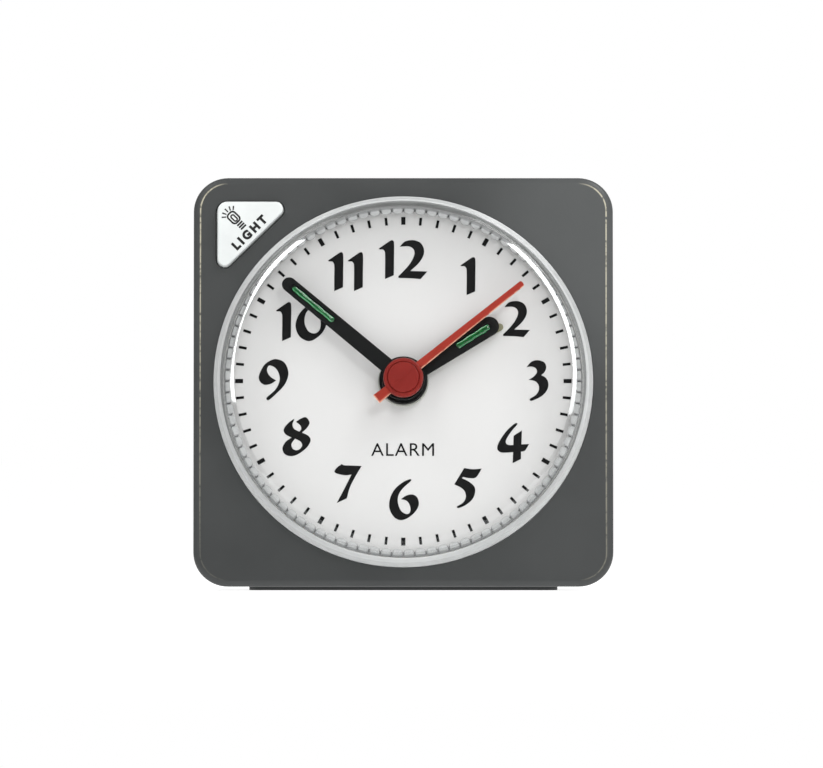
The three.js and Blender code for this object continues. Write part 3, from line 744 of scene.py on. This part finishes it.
SHARP = True
GLYPHS = {  # each figure's width and outlines, in tenths of its height
    "0": (8.0, [
        [(3.2, 0), (1.0, 1.2), (0, 3.9), (0.9, 6.9), (3.2, 9.3), (5.1, 10), (7.2, 8.9), (8.0, 5.9),
         (7.2, 2.9), (5.3, 0.8)],
        [(4.8, 1.95), (6.0, 2.8), (6.3, 4.9), (5.5, 7.2), (4.0, 8.4), (2.7, 7.3), (2.25, 5.4), (2.5, 3.8),
         (3.4, 2.4)]]),
    "1": (3.9, [
        [(0, 7.8, SHARP), (1.95, 9.2), (3.3, 10), (3.85, 9.4), (3.85, 5), (3.8, 1.0, SHARP),
         (1.6, 0, SHARP), (1.6, 6.7), (1.15, 7.55), (0.3, 7.62)]]),
    "2": (7.25, [
        [(0.35, 8.33, SHARP), (1.63, 9.65), (3.7, 10), (5.5, 9.35), (6.4, 7.75), (6.25, 6.0), (5.1, 4.1),
         (3.0, 2.08, SHARP), (7.25, 1.95, SHARP), (5.55, 0, SHARP), (3.0, 0.22), (0.1, 0.3, SHARP),
         (0, 0.7), (1.1, 1.85), (2.75, 3.75), (3.75, 5.5), (4.05, 6.8), (3.65, 7.85), (2.6, 8.4),
         (1.4, 8.4)]]),
    "3": (5.4, [
        [(0.06, 8.3, SHARP), (1.27, 9.65), (2.8, 10), (4.3, 9.5), (4.8, 8.3), (4.4, 7.1),
         (3.6, 6.33, SHARP), (4.75, 5.6), (5.33, 4.2), (4.95, 2.6), (3.6, 1.1), (1.27, 0), (0.8, 0.25),
         (1.0, 0.6), (2.3, 1.45), (3.0, 2.6), (2.95, 3.9), (2.1, 4.85), (0.57, 5.2, SHARP), (1.75, 5.95),
         (2.55, 7.0), (2.3, 8.0), (1.27, 8.45)]]),
    "4": (7.8, [
        [(4.65, 10), (5.0, 9.75), (3.7, 8.2), (2.55, 6.5), (2.1, 5.36), (2.4, 4.72), (3.1, 4.5),
         (3.96, 4.52, SHARP), (4.04, 6.83, SHARP), (6.07, 8.15, SHARP), (5.94, 4.67, SHARP),
         (7.82, 4.77, SHARP), (7.2, 3.7), (6.73, 3.07), (5.84, 2.87, SHARP), (5.84, 1.04, SHARP),
         (3.8, 0, SHARP), (3.93, 2.74, SHARP), (2.4, 2.64), (0.84, 2.74), (0.05, 3.58), (0.46, 5.23),
         (2.1, 7.77), (3.88, 9.54)]]),
    "5": (6.7, [
        [(2.4, 10, SHARP), (4.5, 9.7), (6.67, 9.87, SHARP), (5.96, 8.57), (5.1, 7.57), (3.6, 7.5),
         (2.1, 7.8, SHARP), (1.9, 7.44, SHARP), (3.4, 6.7), (4.75, 5.56), (5.1, 4.2), (4.46, 2.3),
         (2.8, 0.8), (0.95, 0), (0.58, 0.35), (0.95, 0.6), (2.2, 1.43), (2.8, 2.7), (2.6, 4.06),
         (1.7, 5.06), (0, 5.94, SHARP)]]),
    "6": (7.1, [
        [(5.1, 10), (5.23, 9.6), (3.4, 7.9), (2.35, 6.4), (2.04, 4.9), (2.3, 3.4), (3.0, 2.1),
         (4.03, 1.5), (4.8, 1.7), (5.1, 2.6), (4.8, 3.9), (4.03, 4.8), (2.8, 5.1, SHARP), (4.0, 5.95),
         (5.4, 6.25), (6.6, 5.66), (7.1, 4.13), (6.6, 2.6), (5.05, 0.94), (3.0, 0), (1.22, 0.7),
         (0.08, 2.86), (0.25, 5.4), (1.48, 7.7), (3.5, 9.36)]]),
    "7": (6.8, [
        [(0, 8.04), (0.65, 9.1), (1.83, 10, SHARP), (2.4, 9.68), (4.57, 9.6), (6.8, 9.48, SHARP),
         (5.35, 7.0), (3.9, 4.1), (3.1, 1.25, SHARP), (0.57, 0, SHARP), (2.2, 3.1), (4.26, 7.3, SHARP),
         (2.74, 7.13), (0.9, 7.47)]]),
    "8": (7.05, [
        [(3.0, 9.6, SHARP), (1.5, 8.5), (0.33, 6.9), (0.75, 5.64), (2.3, 4.74, SHARP), (0.85, 3.7),
         (0, 2.05), (0.6, 0.5), (2.25, 0), (3.9, 0.5), (6.1, 2.2), (7.05, 4.0), (6.5, 5.2),
         (4.9, 6.03, SHARP), (6.1, 7.2), (6.8, 8.6), (5.85, 9.95), (4.5, 9.54), (3.4, 8.77, SHARP),
         (4.45, 7.9), (4.7, 6.95), (4.26, 6.28, SHARP), (3.0, 6.9), (2.5, 7.95), (2.72, 8.85)],
        [(3.15, 4.5, SHARP), (4.5, 3.75), (4.95, 2.8), (4.4, 1.85), (3.5, 1.5), (2.6, 1.9), (2.26, 3.1)]]),
    "9": (7.1, [
        [(4.25, 10), (6.2, 9.1), (7.1, 6.6), (6.3, 3.94), (4.4, 1.77), (2.4, 0), (1.86, 0.2), (1.98, 0.7),
         (4.1, 2.7), (5.03, 5.03), (4.57, 7.05), (3.5, 8.2), (2.4, 8.4), (2.0, 7.2), (2.7, 5.8),
         (4.16, 4.8, SHARP), (3.0, 4.04), (1.46, 3.73), (0.3, 4.57), (0.06, 5.96), (1.2, 8.4), (2.7, 9.6)]]),
}
NUMERALS = [  # text, the place of its middle and its height
    ("12", -0.05, 17.2, 5.52), ("1", 8.94, 14.86, 5.38), ("2", 15.65, 8.78, 5.1), ("3", 18.55, 0.07, 5.75),
    ("4", 15.16, -8.78, 5.66), ("5", 8.94, -15.14, 5.66), ("6", 0.1, -16.77, 5.8), ("7", -7.64, -14.5, 5.52),
    ("8", -14.76, -7.86, 5.52), ("9", -17.94, 0.2, 5.8), ("10", -14.07, 8.42, 5.52), ("11", -8.0, 15.5, 5.52),
]


def smooth(points, steps=5):
    """A closed outline curved through its points, except that a point marked SHARP is a corner."""
    count = len(points)
    outline = []
    for i in range(count):
        before, here, after, beyond = (points[(i + k) % count] for k in (-1, 0, 1, 2))
        p0, p1, p2, p3 = (Vector(p[:2]) for p in (before, here, after, beyond))
        start = (p2 - p0) / 2 if len(here) == 2 else (p2 - p1) * 0.9
        end = (p3 - p1) / 2 if len(after) == 2 else (p2 - p1) * 0.9
        length = (p2 - p1).length
        start = start * min(1, length / max(start.length, 1e-6) * 1.2)
        end = end * min(1, length / max(end.length, 1e-6) * 1.2)
        for k in range(steps):
            t = k / steps
            a, b = 2 * t ** 3 - 3 * t ** 2 + 1, t ** 3 - 2 * t ** 2 + t
            c, d = -2 * t ** 3 + 3 * t ** 2, t ** 3 - t ** 2
            outline.append(tuple(a * p1 + b * start + c * p2 + d * end))
    return outline


FIGURE_GAP = 1.05  # between two figures of a numeral, in tenths of their height


def numeral_outlines():
    outlines = []
    for text, x, z, height in NUMERALS:
        unit = height / 10
        widths = [GLYPHS[c][0] for c in text]
        cursor = -(sum(widths) + FIGURE_GAP * (len(text) - 1)) / 2
        for figure, width in zip(text, widths):
            for outline in GLYPHS[figure][1]:
                curved = smooth(outline)
                outlines.append([(x + (cursor + px) * unit, z + (pz - 5) * unit) for px, pz in curved])
            cursor += width + FIGURE_GAP
    return outlines


PRINT_SHIFT = 0.2  # how far the whole print sits above the hands' axis


def shifted(obj):
    obj.data.transform(Matrix.Translation((0, 0, PRINT_SHIFT)))
    return obj


numerals = flat_solid("dial_numerals", numeral_outlines(), DIAL_FRONT, DIAL_FRONT - INK)
place(shifted(numerals), "case", dial_ink)

TICK_START, TICK_END = 22.15, 23.25


def tick_outlines():
    """A mark for each minute, wider at every fifth."""
    outlines = []
    for minute in range(60):
        width = 0.58 if minute % 5 == 0 else 0.37
        a = 2 * math.pi * minute / 60
        across, along = Vector((math.cos(a), -math.sin(a))), Vector((math.sin(a), math.cos(a)))
        corners = [(-1, TICK_START), (1, TICK_START), (1, TICK_END), (-1, TICK_END)]
        outlines.append([tuple(across * (s * width / 2) + along * r) for s, r in corners])
    return outlines


ticks = flat_solid("dial_ticks", tick_outlines(), DIAL_FRONT, DIAL_FRONT - INK)
place(shifted(ticks), "case", tick_ink)
word = lettering("dial_word", "ALARM", 1.9, DIAL_FRONT, DIAL_FRONT - INK, 1.1, -9.8)
place(shifted(word), "case", tick_ink)


# ---- the hands
HAND_ANGLES = {"alarm": 59.9, "hour": 57.1, "minute": 310.3, "second": 50.9}  # degrees clockwise from 12
HAND_TURNS = {hand: math.radians(angle) for hand, angle in HAND_ANGLES.items()}


def arm_outline(root, tip, length):
    """A tapering arm with a round end at its tip."""
    half = tip / 2
    return [(-root / 2, 0), (root / 2, 0)] + arc(0, length - half, half, 0, 180, 12)


def stadium(width, start, end):
    half = width / 2
    top, bottom = arc(0, end - half, half, 0, 180, 8), arc(0, start + half, half, 180, 360, 8)
    return top + bottom


def hub(name, radius, back, front, crown=0.12):
    """A boss with a rounded front edge."""
    edge = [(radius, front + crown), (radius - crown * 0.4, front + crown * 0.3), (radius - crown, front)]
    return turned(name, [(0, back), (radius, back), *edge, (0, front)], 64)


def bore_cutter(radius):
    return rod("bore", radius, -6, 3, 40)


LUME_STEPS, LUME_POINTS = 40, 9  # sections along a strip, and points across each


def lume_strip(name, body, turn, width, start, end, back, front):
    """Luminous paint laid in a hand's channel, thicker along its middle and lumpy at its ends."""
    half, length = width / 2, end - start
    angles = [math.pi * k / (LUME_POINTS - 1) for k in range(LUME_POINTS)]
    rings = []
    for i in range(LUME_STEPS + 1):
        t = i / LUME_STEPS
        z = start + length * t
        shape = min(1, math.sqrt(max(0.0, 1 - (2 * t - 1) ** 16)) + 0.02)
        lump = 1 + 0.09 * math.sin(17 * t + 1) + 0.12 * math.sin(41 * t) * (abs(2 * t - 1) ** 3)
        w = half * shape * lump
        height = (back - front) * shape
        rings.append([(w * math.cos(a), back - height * math.sin(a), z) for a in angles])
    strip = through(name, rings)
    # painted highlight lines along two places across the strip
    across = [0.8 if point in (1, 6) else 0 for point in range(LUME_POINTS)]
    store(strip, "painted_highlight_line", across * len(rings))
    place(strip, body, lume_green, turn=turn, crease=60)


def channelled_hand(name, node, body, root, tip, length, back, front, boss, bore, channel):
    """A hand whose arm has a channel for luminous paint. The boss is a radius, a back and a front."""
    arm = flat_solid(name, [arm_outline(root, tip, length)], back, front, 0.07)
    made = join(arm, hub("hub", *boss))
    start, end, width = channel
    recess = flat_solid("recess", [stadium(width, start, end)], front + 0.14, front - 0.2)
    made = cut(made, recess, bore_cutter(bore))
    place(made, body, hand_black, [node], HAND_TURNS[node.split("_")[0]])


channelled_hand("hour_hand_arm", "hour_hand", "hours", 2.1, 2.7, 15.5, -0.4, -0.8, (3.35, -0.4, -1.1), 1.75,
                (8.6, 14.5, 1.15))
channelled_hand("minute_hand_arm", "minute_hand", "minutes", 2.15, 2.0, 21.7, -1.4, -1.8, (3.0, -1.4, -2.0),
                1.15, (12.4, 20.4, 1.1))
lume_strip("hour_lume", "hours", HAND_TURNS["hour"], 0.85, 8.8, 14.2, -0.66, -0.9)
lume_strip("minute_lume", "minutes", HAND_TURNS["minute"], 0.75, 12.6, 20.1, -1.66, -1.9)

alarm_arm = flat_solid("alarm_hand_arm", [arm_outline(1.1, 1.0, 15.9)], 0.25, -0.1, 0.05)
alarm_hand = cut(join(alarm_arm, hub("hub", 3.5, 0.25, -0.1, 0.08)), bore_cutter(2.35))
ALARM_HUB = 3.55
alarm_faces = [int(off_axis(face) < ALARM_HUB) for face in alarm_hand.data.polygons]
place(alarm_hand, "alarm", hand_khaki, ["alarm_hand"], HAND_TURNS["alarm"])
use_finishes(alarm_hand, alarm_faces, alarm_hub_grey)


def second_hand():
    """The tapering hand with its hub, and a low ridge that runs the whole way along it."""
    half_widths = {-4.8: 0.68, -4.6: 0.7, -2: 0.62, 0: 0.6, 2: 0.58, 12: 0.5, 21.1: 0.42, 21.26: 0.3}
    section = [(-1, -2.3), (1, -2.3), (1, -2.54), (0.72, -2.67), (0.12, -2.76), (-0.12, -2.76),
               (-0.84, -2.67), (-1, -2.56)]
    rings = [[(half * side, depth, z) for side, depth in section] for z, half in half_widths.items()]
    arm = through("second_hand_arm", rings)
    disc = hub("disc", 2.77, -2.3, -2.9, 0.2)
    crown = hub("crown", 2.15, -2.3, -3.05, 0.1)
    groove = hoop("groove", [(2.13, -3.3), (2.13, -2.86), (2.2, -2.8), (2.27, -2.86), (2.34, -3.3)], 64)
    disc = join(cut(disc, groove), crown)
    across = [(-0.4, -2.8), (0.4, -2.8), (0.34, -3.03), (0.08, -3.09), (-0.08, -3.09), (-0.34, -3.03)]
    ridge = through("ridge", [[(x, depth, z) for x, depth in across] for z in (-2.05, 2.05)])
    return cut(join(arm, disc, ridge), rod("blind", 0.6, -2, -2.7, 32))


HUB_SIDE, HUB_RIM = 2.6, 2.8  # radii between which the hub's rim lies
HUB_FACE = -2.78  # what lies ahead of this depth is the hub's front


def painted_edge_highlight(point):
    """1 along the hand's right edge and its tail, clear of the hub, for a painted highlight."""
    x, depth, z = point.co
    at_edge = x > 0.4 and depth > -2.6 or z < -4.65
    return int(at_edge and math.hypot(x, z) > 2.7)


def on_hub(face):
    return off_axis(face) < HUB_RIM and (face.center.y < HUB_FACE or off_axis(face) > HUB_SIDE)


sweep = second_hand()
store(sweep, "painted_edge_highlight", [painted_edge_highlight(point) for point in sweep.data.vertices])
hub_faces = [int(on_hub(face)) for face in sweep.data.polygons]
place(sweep, "seconds", hand_red, ["second_hand"], HAND_TURNS["second"])
use_finishes(sweep, hub_faces, hub_red)


# ---- the snooze button
rise = -clock_box("snooze_button")[0].y
TOP_ROUND = 0.3
TOP_DRAFT = 0.1
top_round = [(down - rise, -TOP_DRAFT - inset) for down, inset in quarter_round(TOP_ROUND, 5)]
sections = [(2.5, 0.75), (1.95, 0.75), (1.9, 0), (0.1, 0), *top_round]
button = through("snooze_cap", [button_ring(d, m) for d, m in sections])
place(button, "button", button_white, ["snooze_button"], crease=40)

LAMP_MIDDLE = (-23.12, 22.68)
LEFT_UP = math.radians(-45)  # the lamp points to the button's square corner
STROKE = 0.24
PRINT = (0.01 - rise, -0.02 - rise)  # back and front of what is printed on the button


def spun(points, angle, centre):
    """Points in a drawing turned clockwise by an angle, then moved to a centre."""
    c, s = math.cos(angle), math.sin(angle)
    return [(centre[0] + x * c + z * s, centre[1] - x * s + z * c) for x, z in points]


def outlined_box(low_x, high_x, low_z, high_z, radius, stroke):
    """A rounded box drawn as a line of some thickness."""
    sides = (low_x + stroke, high_x - stroke, low_z + stroke, high_z - stroke)
    inner = rounded_box(*sides, max(radius - stroke, 0.03), 5)
    return [rounded_box(low_x, high_x, low_z, high_z, radius, 5), inner]


def lamp_outlines():
    """A small glowing lamp: a glass with a coil in it, a cap below and rays above."""
    shapes = outlined_box(-0.74, 0.74, -0.45, 1.45, 0.56, STROKE)
    shapes += outlined_box(-0.35, 0.35, -0.45 + STROKE + 0.01, 1.02, 0.33, STROKE * 0.85)
    shapes += [rounded_box(-0.5, 0.5, top - 0.25, top, 0.1, 5) for top in (-0.57, -0.93, -1.29)]
    for angle in (-50, -26, 0, 26, 50):
        near, far = 0.88, 1.5
        ray = [(-0.08, near), (0.08, near), (0.1, far), (-0.1, far)]
        shapes.append(spun(ray, math.radians(angle), (0, 0.72)))
    return [spun(shape, LEFT_UP, LAMP_MIDDLE) for shape in shapes]


place(flat_solid("button_icon", lamp_outlines(), *PRINT), "button", button_ink)
label = lettering("button_word", "LIGHT", 1.18, *PRINT, 1.45, weight=0.1)
place(label, "button", button_ink, turn=-math.pi / 4, centre=(-21.25, 20.85))


# ---- the back
KNOB_RADIUS, KNOB_RIB, KNOB_RIBS = 5.02, 0.16, 36


def knob_cap(name, body, centre):
    """A setting knob with ribs round its rim and a raised grip in its dished end."""
    radii = [KNOB_RADIUS + KNOB_RIB * up for up in (0, 1, 1, 0)] * KNOB_RIBS
    turns = [2 * math.pi * i / len(radii) for i in range(len(radii))]
    sections = [(30.3, -0.15), (30.45, 0), (32.6, 0), (32.85, -0.15), (32.97, -0.4)]
    rings = [[((r + grow) * math.sin(a), depth, (r + grow) * math.cos(a)) for r, a in zip(radii, turns)]
             for depth, grow in sections]
    cap = through(name, rings)
    dish = turned("dish", [(0, 32.4), (3.6, 32.55), (4.2, 33.4), (0, 33.4)], 64)
    made = cut(cap, dish, rod("bore", 1.1, 29, 31.9, 32))
    grip = rounded_prism("grip", -0.55, 0.55, -3.3, 3.3, 0.5, [(32.2, 0), (32.75, 0), (32.9, -0.15)])
    place(join(made, grip), body, knob_plastic, [name.replace("_cap", "")], centre=centre)


knob_cap("time_knob_cap", "time_setting", KNOBS["time"])
knob_cap("alarm_knob_cap", "alarm_setting", KNOBS["alarm"])


def switch_slider():
    cap = rounded_prism("switch_slider", -18.5, -13.5, 15.5, 18.5, 0.3,
                        [(30.3, 0), (31.4, -0.05), (31.58, -0.25)])
    stem = box_solid("stem", (-17.2, 27.5, 15.8), (-14.8, 30.5, 18.2))
    flange = box_solid("flange", (-18.4, 27, 15), (-13.6, 28.1, 19))
    grooves = [box_solid("groove", (-19, 31.25, z), (-13, 32, z + 0.22)) for z in (15.95, 16.55, 17.2, 17.85)]
    return cut(join(cap, stem, flange), *grooves)


place(switch_slider(), "slider", knob_plastic, ["alarm_switch"])

SLOT_LONG, SLOT_NARROW = 1.1, 0.22  # half the length and width of each slot of a screw's cross


def screw(name, node, centre):
    """A round-headed screw with a cross in its head."""
    head = [(0, 27), (1.2, 27), (1.65, 26.85), (1.9, 26.5), (1.9, 25.6)]
    shank = [(0.8, 25.6), (0.8, 8.6), (0.3, 8.2), (0, 8.2)]
    sizes = [(SLOT_LONG, SLOT_NARROW), (SLOT_NARROW, SLOT_LONG)]
    made = turned(name, head + shank, 32)
    slots = [box_solid("slot", (-x, 26.4, -z), (x, 28, z)) for x, z in sizes]
    place(cut(made, *slots), "case", plain_steel, [node], centre=centre)


for number, site in enumerate(SCREWS, 1):
    screw(f"screw_head_{number}", f"case_screw_{number}", site)

MARK_ROOT, MARK_RISE = 0.05, 0.14  # how far a mark reaches into the back and stands up from it


def back_mark(word, cap_height, x, z):
    """A word moulded on the back, to be read from behind."""
    mark = lettering(f"mark_{word.lower()}", word, cap_height, MARK_ROOT, -MARK_RISE, 1.15)
    to_back = Matrix.Translation((x, CASE_DEPTH, z)) @ Matrix.Rotation(math.pi, 4, "Z")
    mark.data.transform(to_back)
    place(mark, "case", case_plastic)


back_mark("TIME", 1.6, KNOBS["time"][0], -1.7)
back_mark("ALARM", 1.6, KNOBS["alarm"][0], -1.7)
back_mark("ON", 1.4, -16, 24.1)
back_mark("OFF", 1.4, -16, 13.6)


# ---- the cell
CELL_BAND = 13  # how much of the sleeve is gold at the cap's end
SLEEVE, GOLD_END, BARE_STEEL = range(3)
CAN_RADIUS = 6  # what lies nearer the cell's axis is bare steel


def battery_cell():
    """A dry cell lying along the case: a steel can in a printed sleeve, with its cap to the left."""
    low, high = clock_box("battery_cell")
    middle = (low + high) / 2
    radius, half = (high.z - low.z) / 2, (high.x - low.x) / 2
    cap = [(0, -half), (2.35, -half), (2.6, 0.25 - half), (2.6, 1 - half), (5.8, 1 - half), (6.1, 0.8 - half)]
    sleeve = [(radius - 0.3, 0.85 - half), (radius, 1.3 - half), (radius, CELL_BAND - half)]
    end = [(radius, half - 0.5), (radius - 0.3, half - 0.1), (5.9, half - 0.1), (5.7, half), (0, half)]
    cell = turned("cell_body", cap + sleeve + end, 72)
    faces = []
    for face in cell.data.polygons:
        printed = SLEEVE if face.center.y > CELL_BAND - half else GOLD_END
        faces.append(printed if off_axis(face) > CAN_RADIUS else BARE_STEEL)
    lie_down = Matrix.Translation(middle) @ Matrix.Rotation(-math.pi / 2, 4, "Z")
    cell.data.transform(lie_down)
    place(cell, "case", cell_sleeve, ["battery_cell"], crease=40)
    use_finishes(cell, faces, cell_gold, plain_steel)


battery_cell()


# ---- what stays as the CAD made it
FINISHES = {
    "gear": gear_acetal, "frame": frame_plastic, "steel": plain_steel, "copper": copper_wire,
    "board": board_green, "chip": chip_epoxy, "contact": sprung_brass, "clear": clear_acrylic,
}
slots = {part["node"]: part["material_slot"] for part in frame["record"]["subparts"]}
for node, obj in frame["nodes"].items():
    if obj.hide_render:
        continue
    obj.data.materials.clear()
    obj.data.materials.append(FINISHES[slots[node]])


# ---- floor, lights and camera
WHITE = (1, 1, 1, 1)
floor_paint = material("floor_paint", (205, 205, 205), 0.8, mottle=(0.004, 5), specular=0.1)
feed(floor_paint.node_tree, shader_of(floor_paint), {"Emission Color": WHITE, "Emission Strength": 0.82})
bpy.ops.mesh.primitive_plane_add(size=8, location=(0, 2.6, 0))
floor = bpy.context.object
floor.name = "floor"
floor.data.materials.append(floor_paint)

bpy.context.scene.view_settings.view_transform = "Standard"


def studio_world(seen, around, ahead):
    """White where it is seen, softer as light, and darkest ahead of the clock, where gloss would show it."""
    world = bpy.data.worlds.new("studio")
    bpy.context.scene.world = world
    world.use_nodes = True
    tree = world.node_tree
    direction = add_node(tree, "TexCoord", {}).outputs["Generated"]
    parts = add_node(tree, "SeparateXYZ", {"Vector": direction})
    light = remap(tree, parts.outputs["Y"], ahead, around, -0.95, -0.35, "SMOOTHSTEP")
    camera_ray = add_node(tree, "LightPath", {}).outputs["Is Camera Ray"]
    pick = add_node(tree, "Mix", {"Factor": camera_ray, "A": light, "B": seen})
    feed(tree, tree.nodes["Background"], {"Color": WHITE, "Strength": pick.outputs["Result"]})


studio_world(seen=1.0, around=0.32, ahead=0.01)


def area_light(name, place_at, target, size, power):
    data = bpy.data.lights.new(name, "AREA")
    data.shape = "RECTANGLE"
    data.size, data.size_y = size
    data.energy = power
    lamp = add_object(name, data)
    lamp.location = place_at
    lamp.rotation_euler = (target - place_at).to_track_quat("-Z", "Y").to_euler()
    lamp.visible_camera = False


def towards(azimuth, elevation, distance):
    """A point seen from the clock's face at an azimuth (right is positive) and an elevation, in degrees."""
    a, e = math.radians(azimuth), math.radians(elevation)
    return ORIGIN + distance * Vector((math.sin(a) * math.cos(e), -math.cos(a) * math.cos(e), math.sin(e)))


# A key and a fill high up, two tall strips for the bevel's white arcs, and two soft lights from the right.
LIGHTS = {  # azimuth, elevation and distance, then size and power
    "right_key": ((70, 60, 0.6), (0.3, 0.25), 1.45),
    "left_fill": ((-70, 60, 0.6), (0.3, 0.25), 0.8),
    "left_strip": ((-42, 35, 0.6), (0.09, 0.44), 0.39),
    "right_strip": ((43, 33, 0.6), (0.12, 0.46), 0.5),
    "right_side": ((78, 12, 0.5), (0.2, 0.35), 0.08),
}
for name, (direction, size, power) in LIGHTS.items():
    area_light(name, towards(*direction), ORIGIN, size, power)
gleam_target = TO_ROW @ Vector((78, 0, 74))
gleam_from = gleam_target + 0.3 * Vector((0, -math.cos(2 * LEAN), math.sin(2 * LEAN)))
area_light("gleam", gleam_from, gleam_target, (0.06, 0.06), 0.18)

SENSOR, FRAME_WIDTH, DISTANCE = 36, 113.75 * MM, 4.0
AIM = (1.13 * MM, -0.34 * MM)  # the view's middle, right of and above the hands' axis
camera_data = bpy.data.cameras.new("camera")
camera_data.sensor_width = SENSOR
camera_data.lens = SENSOR * DISTANCE / FRAME_WIDTH
camera = add_object("camera", camera_data)
camera.location = (ORIGIN.x + AIM[0], ORIGIN.y - DISTANCE, ORIGIN.z + AIM[1])
camera.rotation_euler = (math.pi / 2, 0, 0)
camera_data.clip_end = 20
bpy.context.scene.camera = camera
